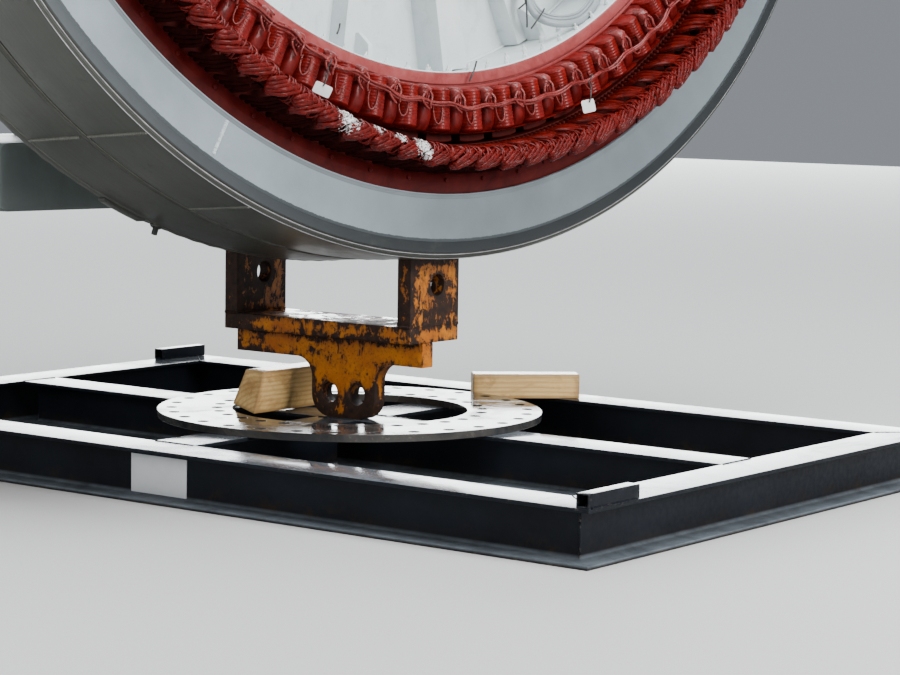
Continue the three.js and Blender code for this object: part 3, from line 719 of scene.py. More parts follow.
def weld_bead(name, paths, size, look, slot, toward):
    """Weld runs: half sunk tubes along straight lines, their size rippled along the run."""
    ends, steps = np.array(paths), 60
    t = np.linspace(0, 1, steps)[None, :, None]
    runs = ends[:, :1] * (1 - t) + ends[:, 1:] * t
    wave = 0.16 * np.sin(np.arange(steps) * 2.4 + np.arange(len(ends))[:, None])
    radii = size * (1 + wave + 0.10 * random.standard_normal((len(ends), steps)))
    return tubes(name, runs, radii, np.array(toward), look, FIXED, sides=7, slot=slot)


corner_welds, top_welds = [], []
for y in (-beam_y + HALF_BEAM, -HALF_BEAM, HALF_BEAM, beam_y - HALF_BEAM):
    top_welds.append(((-HALF_BEAM + 0.004, y, BEAM + 0.0005), (HALF_BEAM - 0.004, y, BEAM + 0.0005)))
for x in (-beam_x + HALF_BEAM, beam_x - HALF_BEAM):
    top_welds.append(((x, -HALF_BEAM + 0.004, BEAM + 0.0005), (x, HALF_BEAM - 0.004, BEAM + 0.0005)))
for sx, sy in CORNERS:
    x, y = sx * (beam_x + 0.005), sy * (beam_y + 0.005)
    corner_welds.append(((x, y, 0.022), (x, y, 0.218)))
    top_welds.append(((sx * (beam_x - HALF_BEAM), sy * (beam_y - HALF_BEAM), BEAM),
                      (sx * (beam_x + HALF_BEAM - 0.004), sy * (beam_y + HALF_BEAM - 0.004), BEAM)))
weld_bead("corner_web_welds", corner_welds, 0.006, BLACK, "black_steel", (1.0, 0.3, 0.0))
weld_bead("top_flange_welds", top_welds, 0.0026, BLACK, "black_steel", (0.2, 0.3, 1.0))

DISC = np.array([-0.027, 0.012])
DISC_R, DISC_BORE, DISC_Z0, DISC_Z1 = 0.932, 0.570, 0.2403, 0.2753
DISC_CIRCLES, DISC_HOLE, DISC_HOLES, DISC_PHASE = (0.644, 0.863), 0.027, 30, math.radians(5)


def drilled_ring(name, place, low, high, inner, outer, circles, hole, count, phase, look, body,
                 stands_for=(), half=0.042):
    """A flat ring with circles of through holes, from low to high along its axis.

    place gives (t, r, a) its row place. Each hole sits in a polar cell, half its height out and in from the
    circle, whose border is drawn in to the hole's edge. Plain bands fill the rest."""
    side, ease = 6, 0.0015
    wedge = TURN / count / 2
    parts = []
    middle = phase + angles(count)
    u = np.linspace(-1, 1, side + 1)[:-1]
    one = np.ones(side)
    square = np.concatenate([np.stack([u, -one], -1), np.stack([one, u], -1),
                             np.stack([-u, one], -1), np.stack([-one, -u], -1)])

    def hole_turn(c):
        """Flat places of a cell's border from its hole's middle, and their angle there."""
        r, a = c + half * square[:, 0], square[:, 1] * wedge
        x, y = r * np.cos(a) - c, r * np.sin(a)
        return x, y, np.arctan2(y, x)

    def face(t, flip):
        """Adds the flat face at height t, bands and cells, turned over by flip."""
        radii = [inner + ease]
        for c in circles:
            radii += [c - half, c + half]
        radii += [outer - ease]
        for k in range(0, len(radii), 2):
            r = np.linspace(radii[k], radii[k + 1], 3)[None, :, None]
            a = middle[:, None, None] + np.linspace(-wedge, wedge, side + 1)[None, None]
            p = place(t, r, a)
            quads = grid(3, side + 1)
            parts.append(copies(p.reshape(count, -1, 3), [quads[:, ::-1] if flip else quads], count))
        for c in circles:
            x, y, turn = hole_turn(c)
            rim = np.stack([c + (hole + ease) * np.cos(turn), (hole + ease) * np.sin(turn)], -1)
            border = np.stack([c + x, y], -1)
            s = np.array([0, 0.35, 0.7, 1.0])[:, None, None]
            flat = border * (1 - s) + rim * s
            r, a = np.hypot(flat[..., 0], flat[..., 1]), np.arctan2(flat[..., 1], flat[..., 0])
            p = place(t, r[None], middle[:, None, None] + a[None])
            quads = grid(4, len(square), False, True)
            parts.append(copies(p.reshape(count, -1, 3), [quads if flip else quads[:, ::-1]], count))

    face(high, True)
    face(low, False)
    t = np.array([high, high - ease, low + ease, low])[:, None]
    grow = np.array([ease, 0, 0, ease])[:, None]
    for c in circles:
        turn = hole_turn(c)[2]
        x, y = c + (hole + grow) * np.cos(turn), (hole + grow) * np.sin(turn)
        r, a = np.hypot(x, y), np.arctan2(y, x)
        p = place(t[None], r[None], middle[:, None, None] + a[None])
        parts.append(copies(p.reshape(count, -1, 3), [grid(4, len(square), False, True)], count))
    a = phase + angles(count * side) - wedge
    bore = place(t, inner + grow, a[None])
    rim = place(t[::-1], outer - grow[::-1], a[None])
    quads = grid(4, len(a), False, True)
    parts += [(bore.reshape(-1, 3), [quads]), (rim.reshape(-1, 3), [quads])]
    points, faces = merged(parts)
    piece = put(name, points, faces, look, body, stands_for, 30)
    work = bmesh.new()
    work.from_mesh(piece.data)
    bmesh.ops.remove_doubles(work, verts=work.verts, dist=1e-5)
    work.to_mesh(piece.data)
    work.free()
    piece.data.set_sharp_from_angle(angle=math.radians(30))
    return piece


def on_disc(t, r, a):
    """Row place on the frame's disc: t up, r from its middle, a round it."""
    t, r, a = np.broadcast_arrays(np.asarray(t, float), r, a)
    return np.stack([DISC[0] + r * np.cos(a), DISC[1] + r * np.sin(a), t], -1)


drilled_ring("pivot_disc_drilled", on_disc, DISC_Z0, DISC_Z1, DISC_BORE, DISC_R, DISC_CIRCLES, DISC_HOLE,
             DISC_HOLES, DISC_PHASE, PLATE, FIXED, ("pivot_disc",))
for stop in ("near_corner_stop", "far_corner_stop"):
    dressed(stop, BLACK, bevel=0.005, cell=0.05)
stop_welds = []
for x0, y0 in ((2.34, -1.5), (-2.4, 1.14)):
    for x in (x0 - 0.001, x0 + 0.061):
        stop_welds.append(((x, y0 + 0.02, 0.2425), (x, y0 + 0.34, 0.2425)))
weld_bead("corner_stop_welds", stop_welds, 0.004, BLACK, "black_steel", (1.0, 0.0, 0.5))
dressed("notice_plate", NOTICE, bevel=0.0008, cell=0.06)

# Pinned yoke and timber
for node in ("yoke_top_plate", "front_yoke_lug", "rear_yoke_lug", "yoke_stem_plate"):
    dressed(node, ORANGE, bevel=0.005, cell=0.045)
PLATE_TOP, PLATE_UNDER = 0.714, 0.636
yoke_welds = []
for x0, x1, inner in ((-0.67, -0.592, -0.592), (0.412, 0.49, 0.412)):
    for y in (-0.182, 0.182):
        yoke_welds.append(((x0 + 0.002, y, PLATE_TOP + 0.002), (x1 - 0.002, y, PLATE_TOP + 0.002)))
    yoke_welds.append(((inner, -0.18, PLATE_TOP + 0.003), (inner, 0.18, PLATE_TOP + 0.003)))
weld_bead("yoke_lug_welds", yoke_welds, 0.008, ORANGE, "orange_steel", (0.3, 0.2, 1.0))
stem_welds = [((-0.655, y, PLATE_UNDER - 0.003), (0.475, y, PLATE_UNDER - 0.003)) for y in (-0.091, -0.009)]
weld_bead("yoke_stem_welds", stem_welds, 0.010, ORANGE, "orange_steel", (0.0, -1.0, 0.3))
for node in ("front_timber_block", "back_timber_block"):
    dressed(node, PINE[node], bevel=0.006, cell=0.04)

# Housing rings
HALF_L, CORE_FRONT = 0.460, 0.440
DRUM_R, DRUM_IN, RIM_R, BAND_R = 2.950, 2.7006, 2.922, 2.876
COVER_IN, COVER_TOP = 2.650, BAND_R - 0.004
turned("drum_front_turned", [
    (0.0004, DRUM_IN, 0), (0.44, DRUM_IN, 0), (0.44, 2.8768, 0), (HALF_L + 0.001, 2.8768, 0.002),
    (HALF_L + 0.001, RIM_R, 0.001), (0.452, RIM_R + 0.003, 0.001), (0.449, 2.9315, 0.0012),
    (0.4535, 2.9345, 0.0012), (0.4515, 2.940, 0.0012), (0.446, 2.9425, 0.0012), (0.4445, 2.9465, 0.0015),
    (0.434, DRUM_R, 0.004), (0.034, DRUM_R, 0.006), (0.028, DRUM_R - 0.012, 0.003),
    (0.012, DRUM_R - 0.014, 0.003), (0.0004, DRUM_R - 0.016, 0.001)],
    DRUM, FIXED, ("drum_front_ring",))
turned("drum_rear_turned", [
    (-0.3996, DRUM_IN, 0), (-0.0004, DRUM_IN, 0), (-0.0004, DRUM_R - 0.016, 0.001),
    (-0.012, DRUM_R - 0.014, 0.003), (-0.020, DRUM_R - 0.003, 0.004), (-0.394, DRUM_R, 0.004),
    (-0.3996, DRUM_R - 0.006, 0.002)],
    DRUM, FIXED, ("drum_rear_ring",))
turned("rear_flange_turned", [
    (-HALF_L, DRUM_IN, 0.002), (-0.4004, DRUM_IN, 0), (-0.4004, DRUM_R - 0.002, 0.002),
    (-HALF_L + 0.010, DRUM_R - 0.002, 0.006), (-HALF_L, DRUM_R - 0.012, 0.004)],
    DRUM, FIXED, ("drum_rear_flange",))
turned("mid_groove_sealant", [
    (-0.013, DRUM_R - 0.018, 0), (0.013, DRUM_R - 0.018, 0), (0.013, DRUM_R - 0.010, 0.004),
    (0.0, DRUM_R - 0.0075, 0.003), (-0.013, DRUM_R - 0.010, 0.004)],
    SEALANT, FIXED, count=288)
turned("rim_band", [
    (HALF_L + 0.0015, BAND_R - 0.006, 0.0005), (HALF_L + 0.0045, COVER_TOP, 0.0008),
    (HALF_L + 0.0045, RIM_R - 0.003, 0.0008), (HALF_L + 0.0015, RIM_R - 0.001, 0.0005)],
    BAND, FIXED)
COVER_BACK, COVER_FACE = CORE_FRONT + 0.0004, CORE_FRONT + 0.0226
turned("front_cover_turned", [
    (COVER_BACK, COVER_IN, 0), (COVER_FACE, COVER_IN, 0.003), (COVER_FACE, COVER_TOP, 0.003),
    (COVER_BACK, COVER_TOP, 0)], COVER, FIXED, ("front_cover_ring",))


def ring_beads(name, runs, size, look, slot, steps=90):
    """Weld runs on the ring: each run goes straight between two ring places (x, r, a in degrees), rippled."""
    t = np.linspace(0, 1, steps)
    ends = np.array(runs, float)
    ends[..., 2] = np.radians(ends[..., 2])
    p = ends[:, None, 0] * (1 - t)[None, :, None] + ends[:, None, 1] * t[None, :, None]
    ripple = 1 + 0.12 * np.sin(np.arange(steps) * 2.3) + 0.08 * random.standard_normal((len(ends), steps))
    toward = outward(p[..., 2]) + 0.2 * FORWARD
    return tubes(name, ring_place(*np.moveaxis(p, -1, 0)), size * ripple, toward, look, FIXED, slot=slot)


drum_welds, cover_welds = [], []
WELD_X, WELD_R = CORE_FRONT + 0.0190, DRUM_R - 0.001
for quarter in (0, 90, 180, 270):
    for x0, x1, a in ((0.036, 0.436, -127.0), (-0.394, -0.022, -127.0), (0.036, 0.436, -114.8)):
        drum_welds.append(((x0, WELD_R, a + quarter), (x1, WELD_R, a + quarter)))
    cover_welds.append(((WELD_X, 2.680, quarter - 120.5), (WELD_X, 2.846, quarter - 120.5)))
ring_beads("drum_plate_welds", drum_welds, 0.0085, SEAM, "drum_steel")
# Painted highlight: the cover's weld beads take the white rotor paint instead of the cover's blue-grey, so
# they read as lit ridges.
ring_beads("cover_plate_welds", cover_welds, 0.0100, WHITE, "cover_paint")
for k, (r0, r1, tone) in enumerate(((2.6515, 2.6575, COVER), (2.6580, 2.6750, LIP))):
    x0, x1 = CORE_FRONT + 0.020, CORE_FRONT + 0.0262 - 0.002 * k
    turned(f"cover_inner_lip_{k + 1}", [(x0, r0, 0), (x1, r0, 0.0015), (x1, r1, 0.0015), (x0, r1, 0)],
           tone, FIXED)
a = angles(720)[None]
for k, (x, r) in enumerate(((0.4522, 2.9290), (0.4495, 2.9375), (0.4395, 2.9475))):
    ring_tubes(f"polished_edge_{k + 1}", x, r, a, 0.0024, EDGE, FIXED, sides=6, closed=True,
               slot="drum_steel")
for k, (x, r, size, tone) in enumerate(((0.0225, 2.9475, 0.0034, SEAM), (-0.0215, 2.9455, 0.0030, DRUM),
                                        (-0.3990, 2.9485, 0.0040, SEAM), (-0.4530, 2.9440, 0.0050, SEAM))):
    ring_tubes(f"drum_seam_bead_{k + 1}", x + 0.0012 * np.sin(37 * a + k), r, a,
               size * (1 + 0.25 * np.sin(180 * a + k)), tone, FIXED, sides=6, closed=True, slot="drum_steel")

# A flat plate lies round the drum's underside before the drain, and a round boss carries the drain itself
share = np.linspace(0, 1, 41)[:, None]
a = np.radians(-117.6 + 4.8 * share)
rise = np.interp(share, [0, 0.04, 0.96, 1], [0.6, 1.0, 1.0, 0.6])
foot, top = DRUM_R - 0.003, DRUM_R + 0.014
edge = rounded([(-0.458, foot, 0), (-0.412, foot, 0), (-0.412, top, 0.004), (-0.458, top, 0.004)])
put("drain_plate", ring_place(edge[None, :, 0], foot + (edge[None, :, 1] - foot) * rise, a),
    capped(len(share), len(edge)), DRUM, FIXED)
drain_a = np.radians([-111.2])
fastened("drain_boss", ring_place(-0.430, DRUM_R - 0.010, drain_a), outward(drain_a),
         [([[0, 0.030], [0.013, 0.030], [0.020, 0.024]], 20)], DRUM, FIXED)

turned("stator_core_turned", [
    (-0.300, 2.422, 0.002), (CORE_FRONT, 2.422, 0.002), (CORE_FRONT, 2.700, 0.001), (-0.300, 2.700, 0.001)],
    CORE, FIXED, ("stator_core",), count=288)
turned("front_clamp_turned", [
    (CORE_FRONT + 0.0004, 2.556, 0), (CORE_FRONT + 0.010, 2.556, 0.003), (CORE_FRONT + 0.012, 2.600, 0.002),
    (CORE_FRONT + 0.009, 2.6495, 0.003), (CORE_FRONT + 0.0004, 2.6495, 0)],
    CLAMP, FIXED, ("front_clamp_ring",))
CLAMP_BOLTS, REAR_BOLTS = 68, 96
bolt_a = math.radians(-128.5) + angles(CLAMP_BOLTS)
fastened("clamp_ring_bolts", ring_place(CORE_FRONT + 0.0115, 2.587, bolt_a), FORWARD,
         [([[0, 0.0105], [0.0085, 0.0105], [0.010, 0.0085]], 6)], CLAMP, FIXED)


def rear_bolts(name, places):
    """Hexagon heads on round washers, all looking backward."""
    fastened(name, places, -FORWARD, [([[0, 0.026], [0.005, 0.026]], 14),
                                      ([[0.004, 0.019], [0.017, 0.019], [0.020, 0.016]], 6)],
             ZINC, FIXED)


rear_bolts("rear_flange_bolts", ring_place(-HALF_L + 0.001, 2.862, angles(REAR_BOLTS, 0.5)))

# Stator windings
ROPE_X, ROPE_R = 0.652, 2.493
HANK_A = HANK_PHASE + angles(HANKS)


def smooth_step(t):
    """Soft step from 0 to 1."""
    return t * t * (3 - 2 * t)


def fuller(a):
    """The rope is a little thicker on one side of the ring: 1 to 1.16 with soft ends, a in radians."""
    d = np.degrees(a + math.pi / 2) % 360
    return 1 + 0.16 * smooth_step(np.clip((d - 150) / 60, 0, 1)) * smooth_step(np.clip((345 - d) / 14, 0, 1))


def rows_of(shape, *values):
    """Values spread over (hank, strand, step), with one row for each strand of each hank."""
    return [np.broadcast_to(v, shape).reshape(-1, shape[-1]) for v in values]


def feeders(name, side, count, thick, look, steps, sides, shift, stands_for=()):
    """Strands between the core's slots and one flank of the rope, side -1 inside and +1 outside.

    Each leaves the core spread over its hank's share of the slots, and draws together with a belly."""
    t = np.linspace(0, 1, steps)[None, None]
    j = random.standard_normal((5, HANKS, count, 1))
    place = (np.arange(count) - (count - 1) / 2)[None, :, None]
    spread = place * (0.0345 * (1 - 0.42 * smooth_step(t)) + 0.001 * j[0])
    run = shift + 0.030 * smooth_step(t) + 0.004 * j[1] * t
    a = HANK_A[:, None, None] + (spread + run) / ROPE_R
    x = CORE_FRONT - 0.004 + (ROPE_X - 0.020 - CORE_FRONT) * t
    start = ROPE_R + side * (0.047 + 0.0015 * j[2])
    end = ROPE_R + side * 0.034
    belly = side * (0.010 + 0.002 * j[3]) * np.sin(math.pi * t) ** 2
    r = start * (1 - smooth_step(t)) + end * smooth_step(t) + belly
    x, r, a = rows_of((HANKS, count, steps), x, r, a)
    radius = thick * (1 - 0.15 * t[0] ** 2) * (1 + 0.05 * j[4].reshape(-1, 1))
    ring_tubes(name, x, r, a, radius, look, FIXED, sides=sides, slot="red_varnish", stands_for=stands_for)


feeders("inner_strands", -1, 4, 0.0138, STRAND, 13, 9, -0.036)
# The outer strands are drawn in the painted shade varnish.
feeders("outer_strands", 1, 4, 0.0125, SHADED, 9, 7, -0.030, ("front_windings",))

# Strands that cross the rope's front: each hank starts as a fist of rounded knuckles on the outer side
FIST, LAY, LAY_RATE = 5, 0.041, 786.0
steps = 19
t = np.linspace(0, 1, steps)[None, None]
strand = np.arange(FIST)[None, :, None]
j = random.standard_normal((6, HANKS, FIST, 1))
head = 20 + 17 * strand + 3 * j[0]
KNUCKLE = [0, 0.08, 0.18]
sweep = (head + 96) * np.clip((t - 0.18) / 0.82, 0, 1)
turn = np.radians(head + np.interp(t, KNUCKLE, [26, 9, 0]) - sweep)
run = 0.009 * strand + 0.003 * j[1] + np.interp(t, KNUCKLE, [0.012, -0.004, 0.0]) + sweep / LAY_RATE
lift = (np.interp(t, [0, 0.05, 0.12, 0.20, 0.36, 0.70, 0.90, 1.0],
                  [-0.026, -0.006, 0.006, 0.0095, 0.006, 0, -0.004, -0.014])
        + 0.0012 * np.sin(t * 14 + 3 * j[2]) + 0.0012 * j[3])
a = HANK_A[:, None, None] + run / ROPE_R
crumple = 1 + 0.035 * random.standard_normal((HANKS, FIST, steps))
reach = (LAY + lift) * fuller(a) * crumple
x, r, a = rows_of((HANKS, FIST, steps), ROPE_X + reach * np.cos(turn), ROPE_R + reach * np.sin(turn), a)
thick = (0.0100 * (1.10 - 0.22 * t[0]) * (1 + 0.07 * j[4].reshape(-1, 1)) * fuller(a)
         * (1 + 0.09 * random.standard_normal(a.shape)))
ring_tubes("rope_strands", x, r, a, thick, ROPE, FIXED, sides=8, slot="red_varnish")

a = angles(784)[None]
lump = 0.0025 * np.sin(HANKS * (a - HANK_PHASE)) + 0.001 * np.sin(HANKS * 3 * a)
ring_tubes("rope_core", ROPE_X, ROPE_R, a, (0.034 + lump) * fuller(a), SHADED, FIXED, sides=14, closed=True,
           slot="red_varnish")


def lashings(name, turns, way, cord, phase):
    """One cord wound turns times round the rope while it goes once round the ring.

    It lies on the skin at the inside and the front and goes under the strands on the outer side."""
    n = turns * 18
    t = np.arange(n) / n
    wander = 0.25 * np.sin(t * TURN * 41 + phase) + 0.18 * np.sin(t * TURN * 97 + 2 * phase)
    turn = way * turns * TURN * t + phase + wander
    over = np.clip((np.cos(turn + math.radians(72)) + 0.12) / 0.55, 0, 1)
    skin = 0.0385 + 0.0135 * smooth_step(over) + 0.0008 * random.standard_normal(n)
    a = t * TURN + 0.0012 * np.sin(t * TURN * 61 + phase)
    skin = skin * fuller(a)
    paths = ring_place(ROPE_X + skin * np.cos(turn), ROPE_R + skin * np.sin(turn), a)[None]
    centre = ring_place(ROPE_X, ROPE_R, a)[None]
    tubes(name, paths, cord, paths - centre, LASH, FIXED, sides=5, closed=True, slot="red_varnish")


LASHINGS = ((176, 1, 0.0028), (168, -1, 0.0028), (132, 1, 0.0036), (140, -1, 0.0036), (196, -1, 0.0024))
for k, (turns, way, cord) in enumerate(LASHINGS):
    lashings(f"rope_lashing_{k + 1}", turns, way, cord, 1.3 * k)

# Loose tape tails that hang from the outer side of the rope
TAILS = 196
tail_a = (HANK_PHASE + angles(TAILS, 0.3 * random.standard_normal(TAILS)))[:, None]
t = np.linspace(0, 1, 6)[None, :, None]
j = random.standard_normal((3, TAILS, 1))
foot = ring_place(ROPE_X - 0.010 + 0.010 * j[0], ROPE_R + 0.040, tail_a)
# The tails are shortest where the rope is thin
hang = 0.35 + 0.65 * (fuller(tail_a) - 1) / 0.16
fall = np.stack([0.006 * j[1], 0.008 * j[2], -np.abs(0.040 + 0.012 * j[0])], -1) * hang[..., None]
path = foot + fall * t + outward(tail_a) * 0.010 * np.sin(math.pi * t)
tubes("loose_tape_tails", path, 0.0052 * (1 - 0.75 * t[..., 0]), FORWARD, SHADED, FIXED, sides=5,
      slot="red_varnish")

SLOTS = 528
fastened("slot_wedges", ring_place(CORE_FRONT - 0.001, 2.4345, angles(SLOTS, 0.5)), FORWARD,
         [([[0, 0.0105], [0.022, 0.0100], [0.028, 0.0065]], 6)], CORE, FIXED)

REAR_TURNS = 176
t = np.linspace(0, 1, 10)[None]
ring_tubes("rear_end_turns", -0.300 - 0.132 * np.sin(math.pi * t), 2.450 + 0.080 * t,
           angles(REAR_TURNS)[:, None] + 0.030 * t, 0.0145, STRAND, FIXED, sides=7, slot="red_varnish",
           stands_for=("rear_windings",))
a = angles(704)[None]
ring_tubes("rear_binding", -0.395, 2.490, a, 0.030 + 0.003 * np.sin(HANKS * 2 * a), CORE, FIXED, sides=10,
           closed=True, slot="red_varnish")

# Rotor
RIM_FRONT, RIM_IN, FLANGE_IN = 0.415, 2.092, 2.084
turned("rotor_rim_turned", [
    (-0.340, RIM_IN, 0.002), (RIM_FRONT - 0.003, RIM_IN, 0.002), (RIM_FRONT, RIM_IN + 0.004, 0.002),
    (RIM_FRONT, 2.143, 0.002), (RIM_FRONT - 0.016, 2.1455, 0.002), (RIM_FRONT - 0.016, 2.152, 0.002),
    (RIM_FRONT - 0.004, 2.155, 0.002), (RIM_FRONT - 0.006, 2.168, 0.002), (RIM_FRONT - 0.030, 2.1757, 0.001),
    (-0.340, 2.1757, 0.002)], RIM, ROTOR, ("rotor_rim",))
turned("rotor_flange_turned", [
    (-0.150, FLANGE_IN, 0.002), (RIM_FRONT - 0.005, FLANGE_IN, 0.003),
    (RIM_FRONT - 0.001, RIM_IN - 0.002, 0.003), (RIM_FRONT - 0.006, 2.0917, 0), (-0.150, 2.0917, 0.002)],
    WHITE, ROTOR, ("rotor_flange",))
dressed("rotor_spider", WHITE, bevel=0.007, cell=0.16, body=ROTOR, passes=2, bend=20)

ring_tubes("flange_root_weld", 0.024, 2.0785, angles(512)[None], 0.008, WHITE, ROTOR, closed=True,
           slot="white_paint")
ARMS = 22
ARM_A = math.radians(-98.6) + angles(ARMS)

# Poles: their laminated teeth, and on each a wire-wound block with its pads, loop and leads
TOOTH_HALF = 0.37 * PITCH
f = np.linspace(-1, 1, 7)
tooth = np.stack([np.concatenate([[2.1763], 2.412 - 0.006 * np.abs(f) ** 4, [2.1763]]),
                  np.concatenate([[-1.0], f, [1.0]])], -1)
COIL_MID = angles(POLES, 0.5) + POLE_PHASE
a = COIL_MID[:, None] + tooth[None, :, 1] * TOOTH_HALF
x = np.array([-0.300, -0.296, 0.432, 0.436])
grow = np.array([-0.004, 0.0, 0.0, -0.004])
r = np.where(tooth[:, 0] > 2.2, tooth[:, 0] + grow[:, None], tooth[:, 0])
skin = ring_place(x[None, :, None], r[None], a[:, None])
points, faces = copies(skin.reshape(POLES, -1, 3), capped(len(x), len(tooth)), POLES)
put("pole_teeth", points, faces, CORE, ROTOR, ("pole_ring",))

WIRES = 14


def coil_block(name, x_back, x_front, r0, r1, c0, c1, look, wires, ripple, corner, rows, rough=0.0,
               columns=10):
    """Closed block before each pole: its outline goes round a rounded front from flank c0 to flank c1, row by
    row outward in r, with a ripple of one wave a wire. Its first and last rows are closed."""
    side = np.concatenate([np.linspace(0, 0.12, 2, endpoint=False), np.linspace(0.12, 0.88, columns - 4),
                           np.linspace(0.88, 1, 3)[1:]])
    span_c = (c1 - c0) / 2
    angle = math.pi * (1 - side)
    power = 2.0 / corner
    cx = np.sign(np.cos(angle)) * np.abs(np.cos(angle)) ** power
    fx = np.abs(np.sin(angle)) ** power
    v = np.linspace(0, 1, rows)
    swell = np.clip(np.minimum(v, 1 - v) * rows / 3.2, 0, 1) ** 0.5
    wave = ripple * np.cos(v * wires * TURN) * swell
    depth = (x_front - x_back) * (0.72 + 0.28 * swell) + wave
    x = x_back + depth[:, None] * fx[None]
    c = (c0 + c1) / 2 + (span_c * (0.93 + 0.07 * swell) + 0.6 * wave)[:, None] * cx[None]
    r = (r0 + (r1 - r0) * v)[:, None] + 0 * cx[None]
    n, m = x.shape
    push = rough * random.standard_normal((POLES, n, m)) * swell[:, None]
    mid = COIL_MID[:, None, None]
    skin = ring_place(x[None] + push, r[None] + 0.4 * push, mid + (c / 2.28)[None])
    points, faces = copies(skin.reshape(POLES, -1, 3), capped(n, m, True), POLES)
    return put(name, points, faces, look, ROTOR, sharp=50)


coil_block("coil_windings", 0.40, 0.532, 2.166, 2.370, -0.098, 0.015, COIL, WIRES, 0.0012, 2.9, WIRES * 4 + 1)
coil_block("coil_side_pads", 0.40, 0.514, 2.168, 2.368, 0.018, 0.096, FLAT, 0, 0.0, 5.5, 9)
coil_block("coil_rear_heads", -0.28, -0.365, 2.192, 2.370, -0.092, 0.092, COIL, 0, 0.0, 4.0, 9)
coil_block("coil_outer_lips", 0.40, 0.522, 2.3705, 2.3765, -0.099, 0.097, COIL, 0, 0.0, 6.0, 5)
coil_block("terminal_pads", 0.44, 0.552, 2.164, 2.236, -0.004, 0.060, PAD, 0, 0.0, 4.5, 12, 0.0030, 12)

mid = COIL_MID[:, None]
j = random.standard_normal((8, POLES, 1))


def pole_leads(name, x, r, c, radius, look, sides=8):
    """One lead a pole: x and r along it, and c its distance from the pole's middle round the ring."""
    ring_tubes(name, x + 0 * mid, r + 0 * mid, mid + c / 2.26, radius, look, ROTOR, sides=sides,
               slot="red_varnish")


t = np.linspace(0, 1, 24)[None]
swing = math.pi * (1.12 - 1.24 * t)
pole_leads("coil_link_loops", 0.524 + 0.006 * np.sin(t * 5 + j[0]),
           2.268 + (0.062 + 0.006 * j[1]) * np.sin(swing),
           0.109 + 0.006 * j[2] - (0.024 + 0.002 * j[3]) * np.cos(swing), 0.0046, LOOP)
t = np.linspace(0, 1, 16)[None]
pole_leads("curved_terminal_leads", 0.556 + 0.006 * np.sin(math.pi * t), 2.206 + (0.070 + 0.004 * j[4]) * t,
           0.004 - (0.034 + 0.004 * j[5]) * np.sin(math.pi * t) + 0.024 * t, 0.0056, PAD)
pole_leads("straight_terminal_leads", 0.553 + 0.010 * np.sin(math.pi * t), 2.196 + 0.076 * t,
           0.030 + (0.022 + 0.006 * j[6]) * t + 0.006 * np.sin(t * 6), 0.0062, PAD)
for k in range(3):
    pole_leads(f"terminal_bars_{k + 1}", 0.5505, 2.200 + 0.046 * t,
               0.010 + 0.017 * k + 0.002 * np.sin(t * 4 + k + j[7]), 0.0038, PAD, 6)
a = angles(1120)[None]
inside = (a - POLE_PHASE) % PITCH / PITCH
lead_r = (2.240 + 0.030 * np.sin(2 * (a + math.radians(95))) + 0.006 * np.sin(TURN * inside + 2.6)
          + 0.006 * np.sin(31 * a) + 0.005 * np.sin(11 * a + 1))
lead_x = 0.562 + 0.006 * np.sin(TURN * inside + 1.0) + 0.004 * np.sin(23 * a)
for name, x, r, radius in (
        ("long_lead", lead_x, lead_r, 0.0066),
        ("long_lead_second", lead_x - 0.003, lead_r + 0.0115 + 0.003 * np.sin(17 * a), 0.0056),
        ("long_lead_third", lead_x + 0.008, lead_r + 0.005 + 0.004 * np.sin(29 * a + 2), 0.0046)):
    ring_tubes(name, x, r, a, radius, PAD, ROTOR, closed=True, slot="red_varnish")

# Clamping studs with nuts in two rows inside the flange
STUDS = 100
stud_a = angles(STUDS, 0.3)
stud_feet = np.concatenate([ring_place(x, FLANGE_IN, stud_a) for x in (0.262, 0.385)])
inward = -np.tile(outward(stud_a), (2, 1))
fastened("flange_nuts", stud_feet, inward, [([[-0.002, 0.0150], [0.0030, 0.0150]], 12),
                                            ([[0.0030, 0.0112], [0.0140, 0.0112], [0.0155, 0.0092]], 6)],
         WHITE, ROTOR)
fastened("flange_studs", stud_feet, inward, [([[0.0, 0.0056], [0.029, 0.0056], [0.031, 0.0042]], 8)],
         ZINC, ROTOR)


def standing_plates(name, arms, outline, thick, ease, look):
    """Plates that stand along ribs: an outline of (x, r) by a thickness across the rib, with eased edges."""
    p = rounded([(x, r, 0.004) for x, r in outline], 2)
    mid = p.mean(0)
    reach = np.linalg.norm(p - mid, axis=1, keepdims=True)
    shrink = np.array([ease, 0, 0, ease])[:, None, None] / reach
    c = np.array([-thick / 2, -thick / 2 + ease, thick / 2 - ease, thick / 2])[:, None]
    x, r = np.moveaxis(mid + (p - mid) * (1 - shrink), -1, 0)
    away = arms[:, None, None]
    place = [x + 0 * away, r * np.cos(away) - c * np.sin(away), r * np.sin(away) + c * np.cos(away)]
    points = RING_CENTRE + np.stack(place, -1) @ RING_AXES
    points, faces = copies(points.reshape(len(arms), -1, 3), capped(4, len(p), True), len(arms))
    return put(name, points, faces, look, ROTOR)


GUSSET = [(0.128, 1.915), (0.150, 1.915), (0.224, 1.975), (0.232, 2.0835), (0.128, 2.0835)]
standing_plates("rib_end_gussets", ARM_A[::2], GUSSET, 0.028, 0.002, WHITE)

